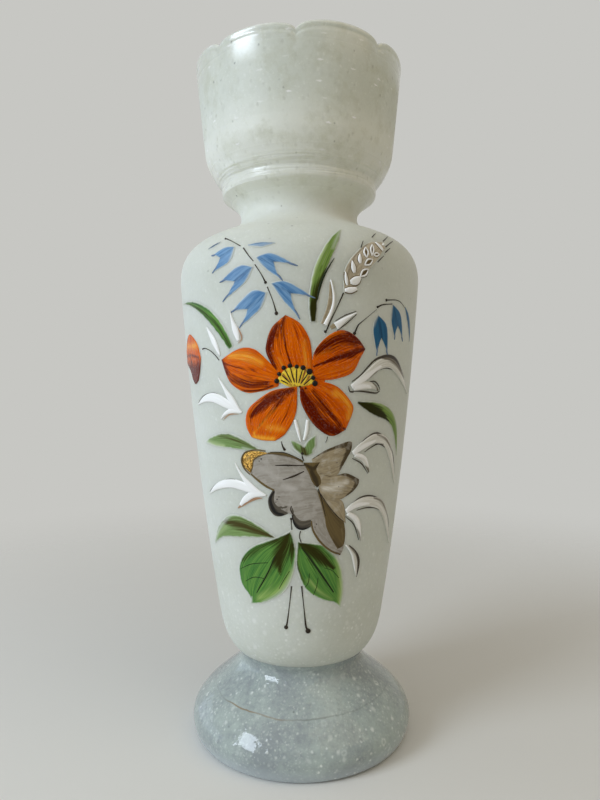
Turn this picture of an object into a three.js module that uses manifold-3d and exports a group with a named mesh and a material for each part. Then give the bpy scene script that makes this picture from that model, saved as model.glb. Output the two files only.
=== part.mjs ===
// Footed glass vase with a lobed crown, painted with a bouquet of raised enamels.
// Millimetres, +Z up. The origin lies on the ground under the middle of the foot.
// The painted side faces -Y. Distances round the glass run to the right from the front line.

import * as THREE from 'three';
import { mergeVertices } from 'three/addons/utils/BufferGeometryUtils.js';
import Module from 'manifold-3d';

// Radii of the blown body, from the bottom up
const heelRadius = 38;
const shoulderRadius = 54.7;
const neckRadius = 26.9;
const collarRadius = 35.4;
const grooveRadius = 35.9;
const crownWallRadius = 43.1;
const rimRadius = 47.1;

// Rises of the blown body, each one counted from the level before it
const bowlBottomHeight = 30.3;
const heelRise = 27.7;
const sideRise = 148;
const shoulderRise = 30;
const neckRise = 10;
const collarRise = 4.6;
const crownBowlRise = 13.4;
const crownWallRise = 40;
const wallThickness = 2.8;

// Lobed rim: semi-elliptic lobes between pinched notches
const lobeCount = 8;
const notchDepth = 4.3;
const pinchDepth = 1.7;
const lobedBandHeight = 18;
const pinchSharpness = 6;

// Applied foot: a blown dome, hollow underneath, that stands on a ground ring
const footRadius = 50.6;
const footBulgeHeight = 8;
const groundRingInset = 4.2;
const groundRingWidth = 4.4;
const footCoreThickness = 8;
const seatRimRise = 8.9;
const waistDrop = 4.2;
const waistInset = 2;

// How far each bend of the outlines sets off or arrives straight, as [outward, upward]
const bowlPull = [32.6, 0];
const heelPull = [2.1, 13.2];
const sidePull = [9.5, 56.8];
const shoulderPullBelow = [1.1, 20.4];
const shoulderPull = [0, 23.7];
const neckPullBelow = [0, 11.2];
const neckPullAbove = [0, 5.8];
const collarPull = [0.7, 1.6];
const collarBulge = [0.4, 1.5];
const crownPullBelow = [2.2, 2];
const crownPullAbove = [0.9, 5.5];
const rimPullBelow = [0.7, 5.5];
const rimPullAbove = [1.3, 12];
const groundRingPull = [2.2, 0];
const footBulgePullBelow = [0, 4];
const footBulgePull = [0, 11];
const footWaistPull = [0, 7.5];
const hollowDomePull = [29.5, 0];
const hollowWallPull = [0, -9];

// Fired enamels: clearance to the glass and to each other, and how thick each kind is laid
const glassGap = 0.3;
const enamelGap = 0.35;
const washThickness = 0.4;
const petalThickness = 0.6;
const raisedThickness = 0.9;

// The bouquet is measured from the flower's heart, this far under the shoulder
const flowerBelowShoulder = 43;
const bouquetAbove = 63;
const bouquetBelow = 118;

// Fineness of the round pieces and of the painted outlines
const roundSegments = 48;
const innerFineness = 0.5;
const edgeSteps = 4;
const strokeSteps = 6;
const weldDistance = 1e-4;

const heelHeight = bowlBottomHeight + heelRise;
const shoulderHeight = heelHeight + sideRise;
const neckHeight = shoulderHeight + shoulderRise;
const collarHeight = neckHeight + neckRise;
const grooveHeight = collarHeight + collarRise;
const crownWallHeight = grooveHeight + crownBowlRise;
const vaseHeight = crownWallHeight + crownWallRise;
const seatRimHeight = bowlBottomHeight + seatRimRise;
const flowerHeight = shoulderHeight - flowerBelowShoulder;

const wasm = await Module();
wasm.setup();

const materials = {
  satinGlass: enamelOrGlass('#cdd2c6', 0.5),
  footGlass: enamelOrGlass('#b4bdb4', 0.12),
  orangeEnamel: enamelOrGlass('#c65a14', 0.3),
  yellowEnamel: enamelOrGlass('#c9b23c', 0.35),
  greenEnamel: enamelOrGlass('#5a8440', 0.35),
  darkGreenEnamel: enamelOrGlass('#36441c', 0.35),
  blueEnamel: enamelOrGlass('#5f93cc', 0.35),
  deepBlueEnamel: enamelOrGlass('#27618f', 0.35),
  whiteEnamel: enamelOrGlass('#f2f2ec', 0.25),
  greyEnamel: enamelOrGlass('#98928a', 0.35),
  brownEnamel: enamelOrGlass('#6b5a3c', 0.35),
  taupeEnamel: enamelOrGlass('#857563', 0.35),
  blackEnamel: enamelOrGlass('#3a3631', 0.35),
  gilding: new THREE.MeshStandardMaterial({ color: '#c8983c', roughness: 0.3, metalness: 1 }),
};

function enamelOrGlass(color, roughness) {
  return new THREE.MeshStandardMaterial({ color, roughness, metalness: 0 });
}

// Solids

function toSolid(geometry) {
  const bare = geometry.clone();
  bare.deleteAttribute('normal');
  bare.deleteAttribute('uv');
  const welded = mergeVertices(bare, weldDistance);
  return new wasm.Manifold(new wasm.Mesh({
    numProp: 3,
    vertProperties: new Float32Array(welded.attributes.position.array),
    triVerts: new Uint32Array(welded.index.array),
  }));
}

function toMesh(name, solid, material) {
  const surface = solid.getMesh();
  const geometry = new THREE.BufferGeometry();
  geometry.setAttribute('position', new THREE.BufferAttribute(surface.vertProperties, 3));
  geometry.setIndex(new THREE.BufferAttribute(surface.triVerts, 1));
  geometry.computeVertexNormals();
  const mesh = new THREE.Mesh(geometry, material);
  mesh.name = name;
  return mesh;
}

// Turns an outline of [radius, height] points round the upright axis, seam at the front
function turn(outline) {
  const points = outline.map(([radius, height]) => new THREE.Vector2(radius, height));
  return new THREE.LatheGeometry(points, roundSegments).rotateX(Math.PI / 2);
}

// Outlines of the glass, as [radius, height]

function bend(start, pullOut, pullIn, end, steps) {
  const curve = new THREE.CubicBezierCurve(
    new THREE.Vector2(...start),
    new THREE.Vector2(start[0] + pullOut[0], start[1] + pullOut[1]),
    new THREE.Vector2(end[0] - pullIn[0], end[1] - pullIn[1]),
    new THREE.Vector2(...end),
  );
  return curve.getPoints(steps).map((point) => [point.x, point.y]);
}

function joinBends(...bends) {
  return bends.flatMap((points, index) => (index === 0 ? points : points.slice(1)));
}

// Moves an outline sideways by a distance, to its left when positive, and drops the
// points that a tight bend would fold over
function offsetOutline(outline, distance) {
  const moved = outline.map((point, index) => {
    const before = outline[Math.max(index - 1, 0)];
    const after = outline[Math.min(index + 1, outline.length - 1)];
    const length = Math.hypot(after[0] - before[0], after[1] - before[1]);
    const along = [(after[0] - before[0]) / length, (after[1] - before[1]) / length];
    return [point[0] - along[1] * distance, point[1] + along[0] * distance];
  });
  const nearest = (point) => Math.min(
    ...outline.map((other) => Math.hypot(point[0] - other[0], point[1] - other[1])),
  );
  return moved.filter((point) => nearest(point) > Math.abs(distance) * 0.97);
}

// The outer face of the body, from the middle of its bottom up to the rim
function bodyOutline(fineness) {
  const heel = [heelRadius, heelHeight];
  const widest = [shoulderRadius, shoulderHeight];
  const neck = [neckRadius, neckHeight];
  const collar = [collarRadius, collarHeight];
  const groove = [grooveRadius, grooveHeight];
  const crownWall = [crownWallRadius, crownWallHeight];
  const rim = [rimRadius, vaseHeight - wallThickness / 2];
  return joinBends(
    bend([0, bowlBottomHeight], bowlPull, heelPull, heel, 6 * fineness),
    bend(heel, sidePull, shoulderPullBelow, widest, 6 * fineness),
    bend(widest, shoulderPull, neckPullBelow, neck, 8 * fineness),
    bend(neck, neckPullAbove, collarPull, collar, 4 * fineness),
    bend(collar, collarBulge, collarBulge, groove, 2 * fineness),
    bend(groove, crownPullBelow, crownPullAbove, crownWall, 4 * fineness),
    bend(crownWall, rimPullBelow, rimPullAbove, rim, 4 * fineness),
  );
}

// Radius of the body's outer face at a height, read off its outline
function bodyRadiusAt(height) {
  const above = Math.max(outerOutline.findIndex((point) => point[1] >= height), 1);
  const [lower, upper] = [outerOutline[above - 1], outerOutline[above]];
  return THREE.MathUtils.mapLinear(height, lower[1], upper[1], lower[0], upper[0]);
}

// Blown body

// How high the lobed rim stands at an azimuth and how far it is drawn in, as shares
function lobeAt(azimuth) {
  const lobes = (azimuth * lobeCount) / (2 * Math.PI);
  const fromMiddle = 2 * (lobes - Math.floor(lobes)) - 1;
  return {
    rise: Math.sqrt(Math.max(0, 1 - fromMiddle ** 2)),
    pinch: Math.abs(fromMiddle) ** pinchSharpness,
  };
}

// Sinks and pinches the rim between the lobes, fading out down the crown's wall
function shapeLobes(geometry) {
  const position = geometry.attributes.position;
  for (let i = 0; i < position.count; i += 1) {
    const point = new THREE.Vector3().fromBufferAttribute(position, i);
    const share = THREE.MathUtils.smoothstep(point.z, vaseHeight - lobedBandHeight, vaseHeight);
    const lobe = lobeAt(Math.atan2(point.x, -point.y));
    const radius = Math.max(Math.hypot(point.x, point.y), weldDistance);
    const drawnIn = 1 - (pinchDepth * lobe.pinch * share) / radius;
    const sunk = notchDepth * (1 - lobe.rise) * share;
    position.setXYZ(i, point.x * drawnIn, point.y * drawnIn, point.z - sunk);
  }
  return geometry;
}

function makeVaseBody() {
  const inner = offsetOutline(bodyOutline(innerFineness), wallThickness).slice(1).reverse();
  const rim = outerOutline[outerOutline.length - 1];
  const lip = [rim[0] - wallThickness / 2, vaseHeight];
  const floor = [0, bowlBottomHeight + wallThickness];
  const outline = [...outerOutline, lip, ...inner, floor];
  return toMesh('vase_body', toSolid(shapeLobes(turn(outline))), materials.satinGlass);
}

// Applied foot

function makeAppliedFoot() {
  const groundOuter = [footRadius - groundRingInset, 0];
  const groundInner = [groundOuter[0] - groundRingWidth, 0];
  const bulge = [footRadius, footBulgeHeight];
  const seatRim = [bodyRadiusAt(seatRimHeight), seatRimHeight];
  const waist = [seatRim[0] - waistInset, seatRimHeight - waistDrop];
  const seatBottom = [0, bowlBottomHeight - glassGap];
  const hollowTop = [0, seatBottom[1] - footCoreThickness];
  const bowl = outerOutline.filter((point) => point[1] < seatRimHeight);
  const seat = offsetOutline([...bowl, seatRim], -glassGap).slice(1).reverse();
  const outline = [
    ...bend(hollowTop, hollowDomePull, hollowWallPull, groundInner, 7),
    ...bend(groundOuter, groundRingPull, footBulgePullBelow, bulge, 3),
    ...bend(bulge, footBulgePull, footWaistPull, waist, 8).slice(1),
    seatRim,
    ...seat,
    seatBottom,
  ];
  return toMesh('applied_foot', toSolid(turn(outline)), materials.footGlass);
}

// Painted outlines, as [round the glass, above the flower's heart]

function spread(points, steps) {
  const curve = new THREE.SplineCurve(points.map((point) => new THREE.Vector2(...point)));
  return curve.getPoints(steps).map((point) => [point.x, point.y]);
}

// A patch bounded by smooth edges that meet in corners; each edge starts where the last ended
function patch(...edges) {
  return edges.flatMap((edge) => {
    const steps = edge.length > 2 ? Math.max(edge.length, edgeSteps) : 1;
    return spread(edge, steps).slice(0, -1);
  });
}

// One stroke of a loaded brush along a path, with its widths from start to end
function stroke(path, widths) {
  const spine = new THREE.SplineCurve(path.map((point) => new THREE.Vector2(...point)));
  const swell = new THREE.SplineCurve(widths.map((width, i) => new THREE.Vector2(i, width)));
  const right = [];
  const left = [];
  for (let i = 0; i <= strokeSteps; i += 1) {
    const share = i / strokeSteps;
    const middle = spine.getPoint(share);
    const along = spine.getTangent(share);
    const half = Math.max(swell.getPoint(share).y, enamelGap) / 2;
    right.push([middle.x + along.y * half, middle.y - along.x * half]);
    left.unshift([middle.x - along.y * half, middle.y + along.x * half]);
  }
  return [...right, ...left];
}

// A bell-shaped floret: a rounded heel and two swept tips either side of a notch
function floret(heel, sideA, tipA, notch, tipB, sideB) {
  return patch([heel, sideA, tipA], [tipA, notch], [notch, tipB], [tipB, sideB, heel]);
}

// Widens an outline all round by a distance
function grow(outline, distance) {
  const turned = Math.sign(THREE.ShapeUtils.area(outline.map(([x, y]) => ({ x, y }))));
  return outline.map((point, index) => {
    const before = outline[(index + outline.length - 1) % outline.length];
    const after = outline[(index + 1) % outline.length];
    const length = Math.hypot(after[0] - before[0], after[1] - before[1]);
    const outward = [(after[1] - before[1]) / length, (before[0] - after[0]) / length];
    return [
      point[0] + outward[0] * distance * turned,
      point[1] + outward[1] * distance * turned,
    ];
  });
}

// Enamel laid on the glass

// A skin of one enamel thickness all round the painted glass, from which deposits are cut
function enamelSkin(thickness) {
  const painted = outerOutline.filter(([, height]) => (
    height > flowerHeight - bouquetBelow && height < flowerHeight + bouquetAbove
  ));
  const inside = offsetOutline(painted, -glassGap);
  const outside = offsetOutline(painted, -glassGap - thickness);
  return toSolid(turn([...outside, ...inside.reverse(), outside[0]]));
}

// Pushes a painted outline straight through the glass along its own middle direction
function punch(outline) {
  const onGlass = outline.map(([around, above]) => {
    const height = flowerHeight + above;
    const radius = bodyRadiusAt(height);
    return { azimuth: around / radius, radius, height };
  });
  const azimuths = onGlass.map((point) => point.azimuth);
  const facing = (Math.min(...azimuths) + Math.max(...azimuths)) / 2;
  const flat = onGlass.map(({ azimuth, radius, height }) => (
    new THREE.Vector2(radius * Math.sin(azimuth - facing), height)
  ));
  const prism = new THREE.ExtrudeGeometry(new THREE.Shape(flat), {
    depth: 2 * shoulderRadius,
    bevelEnabled: false,
  });
  return toSolid(prism.rotateX(Math.PI / 2).rotateZ(facing));
}

const outerOutline = bodyOutline(1);
const skins = {
  wash: enamelSkin(washThickness),
  petal: enamelSkin(petalThickness),
  raised: enamelSkin(raisedThickness),
};
const laid = [];

function punchAll(outlines) {
  return outlines.map(punch).reduce((joined, next) => joined.add(next));
}

// Fires one deposit of enamel: deposits laid earlier keep their place and later ones stop short
function lay(name, outlines, skin, material) {
  const grown = outlines.map((outline) => grow(outline, enamelGap));
  const bounds = new THREE.Box2().setFromPoints(
    grown.flat().map((point) => new THREE.Vector2(...point)),
  );
  let solid = skin.intersect(punchAll(outlines));
  laid.filter((earlier) => earlier.bounds.intersectsBox(bounds)).forEach((earlier) => {
    solid = solid.subtract(earlier.clearance);
  });
  laid.push({ bounds, clearance: punchAll(grown) });
  return toMesh(name, solid, material);
}

function layAll(pieces, skin, material) {
  return Object.entries(pieces).map(([name, outlines]) => lay(name, outlines, skin, material));
}

// The bouquet, from the deposits that lie on top to those that stop short of them

function makeFlower() {
  const heart = {
    flower_heart: [patch(
      [[-9, -2], [-7, 2], [-3.8, 3.8], [1.2, 3.9], [4.6, 1.6], [5.9, -3]],
      [[5.9, -3], [2, -4.4], [-4.5, -4.2], [-9, -2]],
    )],
  };
  const petals = {
    petal_top: [patch(
      [[5, 2], [4.8, 8], [3.7, 14.5], [0, 20.3], [-5.5, 23.4]],
      [[-5.5, 23.4], [-11, 18.5], [-13.4, 11.5], [-12.7, 7.5], [-8.5, 0], [5, 2]],
    )],
    petal_upper_right: [patch(
      [[5, -1], [9.3, -1.8], [15, -1.2], [21.5, 1.3], [25, 7], [27.3, 10.6]],
      [[27.3, 10.6], [23, 15.3], [17, 17.8], [11, 15.5], [5.6, 9.5], [5, -1]],
    )],
    petal_lower_right: [patch(
      [[-0.2, -4], [0.5, -11], [5.5, -19.5], [12.3, -23.9], [18.5, -21.5]],
      [[18.5, -21.5], [21.7, -14.5], [21.3, -11], [15.5, -4.7], [9.3, -2.4], [-0.2, -4]],
    )],
    petal_lower_left: [patch(
      [[-1, -4], [-9.5, -5.3], [-13.5, -7], [-20.8, -12.5], [-22.3, -16], [-20.3, -24.2]],
      [[-20.3, -24.2], [-17, -25.4], [-10, -25.7], [-5.5, -22.5], [-1.5, -14.5], [-1, -4]],
    )],
    petal_left: [patch(
      [[-8.5, 2], [-12, 5.5], [-18, 10.5], [-25, 10.9], [-34, 6.8]],
      [[-34, 6.8], [-31.5, 0.5], [-28.5, -3.5], [-22, -6.6], [-15, -6], [-8.5, -4.2], [-8.5, 2]],
    )],
    side_bud: [patch(
      [[-68, 6], [-66.5, 13], [-60, 18.5], [-54, 16.8], [-50, 13.5], [-47.7, 8]],
      [[-47.7, 8], [-49, 2.5], [-51, -1.5], [-55, -3], [-58.2, -0.8]],
      [[-58.2, -0.8], [-61, 2.8], [-68, 6]],
    )],
  };
  return [
    ...layAll(heart, skins.petal, materials.yellowEnamel),
    ...layAll(petals, skins.petal, materials.orangeEnamel),
  ];
}

// White relief strokes; the sprays and hooks are several strokes run together wet
function makeWhiteRelief() {
  const strokes = {
    white_drop_left: [stroke([[-28.8, 25.6], [-27.3, 21], [-25.3, 14.7]], [0.5, 1.9, 2.6])],
    white_blade_left: [stroke([[-42.3, 20.3], [-38, 14], [-34.6, 8.6]], [0.5, 2.8, 0.9])],
    white_blade_right: [stroke(
      [[12.1, 36.8], [13.3, 31], [12.8, 26], [9.9, 19.5]],
      [0.6, 1, 1.3, 1.5],
    )],
    white_leaf_right: [stroke([[23, 24.6], [18.3, 22], [14.2, 19]], [0.4, 1.8, 3.2])],
    white_stroke_left: [stroke([[-2, -17.2], [-1, -21], [0.2, -26]], [1.2, 1.3, 0.5])],
    white_stroke_right: [stroke([[2.9, -17.2], [2.4, -22], [1.4, -25.4]], [1.2, 1.5, 0.9])],
    white_spray_upper: [
      stroke(
        [[-53, -11.8], [-46, -9.2], [-39, -8.7], [-31.5, -11.2], [-24, -14.5]],
        [0.5, 2.3, 3.8, 3.2, 0.8],
      ),
      stroke([[-36, -0.4], [-31.5, -6.5], [-27, -12], [-24.5, -14.3]], [0.5, 1.5, 2.6, 0.8]),
      stroke([[-35.3, -17.4], [-32.5, -15], [-28.5, -13.7], [-24.5, -14.6]], [0.6, 1.6, 2.4, 0.8]),
    ],
    white_spray_lower: [
      stroke(
        [[-47, -50.5], [-39, -46], [-30, -44], [-21.5, -45.5], [-14, -47.9]],
        [0.5, 2, 3, 3.2, 0.8],
      ),
      stroke([[-28.3, -35], [-24.5, -40.7], [-19.5, -45.4], [-14.5, -47.8]], [0.5, 1.4, 2.3, 0.8]),
      stroke([[-26, -52.8], [-23.5, -50.2], [-19.5, -47.7], [-14.5, -47.8]], [1.2, 2.3, 2.6, 0.8]),
    ],
    white_arc_top: [
      stroke([[21, -4.6], [28, 0], [36, 5], [45, 4], [59.5, -7.2]], [2.2, 3.8, 4.2, 3, 0.5]),
      stroke([[21.8, -4.8], [27, -4.1], [32.3, -5.1]], [2, 2.2, 1.2]),
    ],
    white_arc_upper: [
      stroke([[21.8, -31.2], [27, -28], [34, -25.7], [42, -29.5], [50, -46.5]], [2, 4, 4, 2.8, 0.5]),
      stroke([[22.7, -31.8], [27.5, -34], [30, -39.7]], [1.8, 2, 0.5]),
    ],
    white_arc_lower: [
      stroke([[18.9, -55], [24, -52.3], [31, -52], [40, -56.5], [48.8, -73.7]], [1.8, 4.2, 4.6, 3, 0.5]),
      stroke([[19.6, -55.8], [24.3, -59.5], [26.4, -68.5]], [1.8, 2.8, 0.5]),
    ],
    white_sprig_bottom: [stroke([[18.9, -69], [23, -74], [24.4, -83.4]], [0.7, 2.6, 0.5])],
  };
  return layAll(strokes, skins.raised, materials.whiteEnamel);
}

function makeButterfly() {
  const dark = {
    butterfly_body: [patch(
      [[1.2, -34.3], [3.3, -38.5], [4.6, -42], [6.6, -44.4]],
      [[6.6, -44.4], [8.2, -42.8], [7.9, -40.2], [6.3, -37.3], [7.8, -34.2]],
      [[7.8, -34.2], [1.2, -34.3]],
    )],
    butterfly_edge_left: [stroke(
      [[-10.6, -45.8], [-11.7, -50], [-9.6, -54.2], [-5.6, -53.5]],
      [0.8, 2.1, 3.6, 2.2],
    )],
    butterfly_edge_bottom: [stroke(
      [[-3.6, -52.5], [-2.6, -57.4], [0, -60.3], [3.6, -59.4]],
      [0.6, 1.8, 3.6, 2.2],
    )],
  };
  const gilt = {
    butterfly_gilt_tip: [patch(
      [[-12.8, -30.6], [-17.5, -29.8], [-22.5, -30.7], [-24.4, -33.5], [-23.6, -36.5], [-20.7, -39]],
      [[-20.7, -39], [-19.7, -36], [-19.4, -33.5], [-17, -31.9], [-12.8, -30.6]],
    )],
  };
  const brown = {
    butterfly_wing_fold: [patch(
      [[6.8, -45], [8, -49], [10, -56], [10.6, -61], [12.6, -66], [15.2, -70.5]],
      [[15.2, -70.5], [18, -69], [18.7, -64], [17.8, -59]],
      [[17.8, -59], [14, -55.7], [10, -50.5], [6.8, -45]],
    )],
  };
  const grey = {
    butterfly_near_wing: [patch(
      [[0.9, -34.2], [-3, -32], [-9, -30.4], [-16, -30.8], [-23, -33], [-23.6, -35.5]],
      [[-23.6, -35.5], [-20, -40.5], [-14, -44.5], [-10.2, -46.2]],
      [[-10.2, -46.2], [-10.8, -50], [-9, -52.4], [-3.6, -51.5]],
      [[-3.6, -51.5], [-2.6, -55.5], [0.5, -58], [4, -57.7], [9.9, -57.2]],
      [[9.9, -57.2], [7.8, -49], [6, -44.5], [4.2, -39.5], [0.9, -34.2]],
    )],
  };
  const taupe = {
    butterfly_far_wing_upper: [patch(
      [[5, -32.7], [9, -29.9], [13, -28.2], [19.5, -26.2], [21.5, -26.7]],
      [[21.5, -26.7], [21.2, -29.5], [19.3, -33], [16.3, -37.8]],
      [[16.3, -37.8], [14.5, -39.5], [11, -40.1], [7.8, -39.4], [5, -32.7]],
    )],
    butterfly_far_wing_middle: [patch(
      [[8, -40.4], [14, -40], [19, -39.2], [25, -42]],
      [[25, -42], [24.8, -44], [22, -47], [17, -49.4]],
      [[17, -49.4], [12, -49], [8, -46]],
      [[8, -46], [8, -40.4]],
    )],
    butterfly_far_wing_lower: [patch(
      [[8, -47], [12, -49.9], [16.4, -50.6], [18.3, -53], [18.9, -60]],
      [[18.9, -60], [16, -57], [12.3, -53.5], [8, -47]],
    )],
    butterfly_near_wing_lower: [patch(
      [[4.2, -57.9], [4.6, -61.5], [7, -65.5], [11, -70], [16.8, -73]],
      [[16.8, -73], [18, -70.5], [18.2, -67]],
      [[18.2, -67], [12.2, -60], [9.8, -57.8]],
      [[9.8, -57.8], [4.2, -57.9]],
    )],
  };
  return [
    ...layAll(dark, skins.wash, materials.blackEnamel),
    ...layAll(gilt, skins.wash, materials.gilding),
    ...layAll(brown, skins.wash, materials.brownEnamel),
    ...layAll(grey, skins.wash, materials.greyEnamel),
    ...layAll(taupe, skins.wash, materials.taupeEnamel),
  ];
}

function makeLeaves() {
  const dark = {
    grass_blade: [stroke(
      [[4.8, 22], [5, 29], [6.8, 37], [10.4, 46], [16.4, 57]],
      [1.6, 2.7, 4.4, 3.6, 0.5],
    )],
    leaf_right: [stroke(
      [[23.5, -10.6], [32, -13.2], [41, -16], [47, -21.5], [50.8, -34.5]],
      [1.2, 6, 5.6, 4.2, 0.6],
    )],
  };
  const green = {
    leaf_upper_left: [stroke(
      [[-68, 32.5], [-55, 31], [-44, 27], [-35, 19.8], [-28.6, 11]],
      [0.5, 2, 3.6, 4, 1.6],
    )],
    leaf_middle_left: [stroke(
      [[-48, -27.8], [-40, -26.8], [-32, -26.2], [-23, -27.8], [-15.5, -30.2]],
      [0.6, 3.9, 5, 3.2, 0.6],
    )],
    leaf_bottom_left: [patch(
      [[-4, -62], [-1.9, -70], [-3, -80.5], [-7, -88.5], [-15, -93.5], [-22.4, -95.2]],
      [[-22.4, -95.2], [-22.2, -92.3], [-27, -86.5], [-27.5, -78], [-21, -70], [-9, -64.7], [-4, -62]],
    )],
    leaf_bottom_right: [patch(
      [[-1.4, -66.5], [-1.8, -77.5], [2, -87], [8.5, -91.7], [14, -93.6], [17, -96.7]],
      [[17, -96.7], [18.3, -88], [16.5, -76.5], [10.5, -69], [3, -67], [-1.4, -66.5]],
    )],
    leaf_lower_left: [stroke(
      [[-45.5, -72.5], [-39, -66.2], [-30, -62.2], [-20, -62.7], [-10.5, -65.2]],
      [0.8, 6, 10, 6.6, 1],
    )],
    flower_sepals: [patch(
      [[-4.8, -25.2], [-2, -26.2], [0.6, -27.6]],
      [[0.6, -27.6], [2.5, -25.2], [5.3, -23.5]],
      [[5.3, -23.5], [4.6, -28], [3.6, -29.6]],
      [[3.6, -29.6], [4.9, -30.6]],
      [[4.9, -30.6], [2.4, -31.7], [-0.5, -30.8], [-4.8, -25.2]],
    )],
  };
  return [
    ...layAll(dark, skins.wash, materials.darkGreenEnamel),
    ...layAll(green, skins.wash, materials.greenEnamel),
  ];
}

function makeBluebells() {
  const pale = {
    bluebell_left_1: [stroke([[-41.3, 51.9], [-37.5, 52.9], [-33.6, 54.2]], [0.5, 1.4, 0.5])],
    bluebell_left_2: [floret(
      [-26.6, 50.6], [-31.5, 50.8], [-38, 48.7], [-33.6, 46.8], [-37.5, 42.1], [-29, 45],
    )],
    bluebell_left_3: [floret(
      [-18.4, 41.8], [-24.5, 42.6], [-33.3, 37.6], [-26.5, 36.7], [-32, 30.4], [-22.3, 36],
    )],
    bluebell_left_4: [floret(
      [-12.9, 31.8], [-19, 32.6], [-28, 25.5], [-20.8, 25.7], [-24.3, 19.8], [-15.8, 25.7],
    )],
    bluebell_left_5: [stroke([[-20.6, 50.9], [-15, 50.7], [-9.2, 51]], [0.5, 2.3, 0.5])],
    bluebell_left_6: [floret(
      [-17, 45.3], [-10.5, 46.6], [-1.6, 42.2], [-9.8, 43.2], [-7, 37], [-13, 41.2],
    )],
    bluebell_left_7: [floret(
      [-10.9, 35.2], [-4.5, 35.6], [5.3, 30.1], [-3.3, 31], [-0.5, 22.5], [-6.8, 29.8],
    )],
  };
  const deep = {
    bluebell_right_1: [floret(
      [33, 24.2], [38.3, 19], [39.6, 8.6], [35.6, 15], [33.2, 8.3], [31, 18],
    )],
    bluebell_right_2: [floret(
      [41.8, 29.2], [48.3, 24.5], [51, 14.8], [46.3, 20.5], [44.2, 15.2], [41.2, 22.5],
    )],
    bluebell_right_3: [stroke([[51.8, 29], [55.5, 25], [58.3, 19], [59.2, 15]], [0.8, 3, 2.4, 0.6])],
  };
  return [
    ...layAll(pale, skins.wash, materials.blueEnamel),
    ...layAll(deep, skins.wash, materials.deepBlueEnamel),
  ];
}

function makeWheatEar() {
  const ear = [stroke(
    [[18.8, 31.8], [21.3, 39.3], [26, 45], [31.5, 49.8], [37.3, 52.8]],
    [3, 7.6, 8.8, 8, 3],
  )];
  return lay('wheat_ear', ear, skins.wash, materials.taupeEnamel);
}

const bouquet = new THREE.Group();
bouquet.add(
  ...makeFlower(),
  ...makeWhiteRelief(),
  ...makeButterfly(),
  ...makeLeaves(),
  ...makeBluebells(),
  makeWheatEar(),
);

const vase = new THREE.Group();
vase.add(makeVaseBody(), makeAppliedFoot(), bouquet);

export default vase;
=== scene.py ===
"""Looks of a footed opaline glass vase: lobed crown, applied foot, bouquet of raised enamels.

Sizes are in millimetres and become metres where a mesh is written. The painted side faces -Y.
Places on the painted glass are given as (round, above): the distance to the right of the front
line, measured round the glass, and the height above the heart of the orange flower.
"""

import logging
import math
from collections.abc import Iterable, Sequence
from dataclasses import dataclass, field
from enum import Enum

import bmesh
import bpy
import numpy as np
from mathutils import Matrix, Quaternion, Vector


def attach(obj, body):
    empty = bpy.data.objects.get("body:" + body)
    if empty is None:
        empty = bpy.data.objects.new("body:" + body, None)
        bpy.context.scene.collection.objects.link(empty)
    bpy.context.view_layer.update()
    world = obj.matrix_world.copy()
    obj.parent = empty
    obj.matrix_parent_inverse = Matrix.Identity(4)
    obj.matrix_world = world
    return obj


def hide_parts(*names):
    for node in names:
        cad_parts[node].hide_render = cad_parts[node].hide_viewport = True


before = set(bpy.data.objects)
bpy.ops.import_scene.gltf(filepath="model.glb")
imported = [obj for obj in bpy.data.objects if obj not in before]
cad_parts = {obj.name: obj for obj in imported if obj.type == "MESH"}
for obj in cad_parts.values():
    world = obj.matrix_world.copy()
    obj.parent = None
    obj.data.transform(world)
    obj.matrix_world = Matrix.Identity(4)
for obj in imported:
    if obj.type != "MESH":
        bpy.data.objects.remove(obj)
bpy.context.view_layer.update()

MM = 0.001
BODY = "root"
LOG = logging.getLogger("vase")

CURVE_STEPS = 24
SPAN_STEPS = 16
OUTLINE_STEPS = 48
LIP_STEPS = 8
MEASURED_STEPS = 32
THINNEST_STROKE = 0.16

Point = tuple[float, float]
Path = tuple[Point, ...]
Stroke = tuple[Path, tuple[float, ...]]
Bead = tuple[Point, float, float, float]
Pull = tuple[Point, Point, int]
Tree = bpy.types.NodeTree
Node = bpy.types.Node
Socket = bpy.types.NodeSocket
Mesh = bmesh.types.BMesh


# Colours and shader nodes


def linear(tone: str) -> tuple[float, float, float, float]:
    """Turns an sRGB hex colour into linear light.

    Args:
        tone: the colour as "#rrggbb".

    Returns:
        Linear red, green, blue and an alpha of 1.
    """
    shares = [int(tone[i : i + 2], 16) / 255 for i in (1, 3, 5)]
    light = [c / 12.92 if c <= 0.04045 else ((c + 0.055) / 1.055) ** 2.4 for c in shares]
    return light[0], light[1], light[2], 1.0


def add_node(tree: Tree, kind: str, inputs: dict | None = None, **settings: object) -> Node:
    """Adds a shader node with its settings, values and links.

    Args:
        tree: the node tree that gets the node.
        kind: the node's type without "ShaderNode".
        inputs: values, sockets or nodes by input name or number. A node gives its first output.
        **settings: properties of the node.

    Returns:
        The new node.
    """
    node = tree.nodes.new("ShaderNode" + kind)
    for name, value in settings.items():
        setattr(node, name, value)
    for key, value in (inputs or {}).items():
        if isinstance(value, (Node, Socket)):
            tree.links.new(value.outputs[0] if isinstance(value, Node) else value, node.inputs[key])
        else:
            node.inputs[key].default_value = value
    return node


def new_material(name: str) -> tuple[bpy.types.Material, Tree]:
    """Starts a material with an empty tree.

    Args:
        name: the material's name.

    Returns:
        The material and its node tree.
    """
    material = bpy.data.materials.new(name)
    material.use_nodes = True
    material.node_tree.nodes.clear()
    return material, material.node_tree


def close_material(tree: Tree, shader: Node) -> None:
    """Links a shader to the material's output.

    Args:
        tree: the material's node tree.
        shader: the node whose first output is the surface.
    """
    add_node(tree, "OutputMaterial", {"Surface": shader})


# Curves on paper


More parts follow.
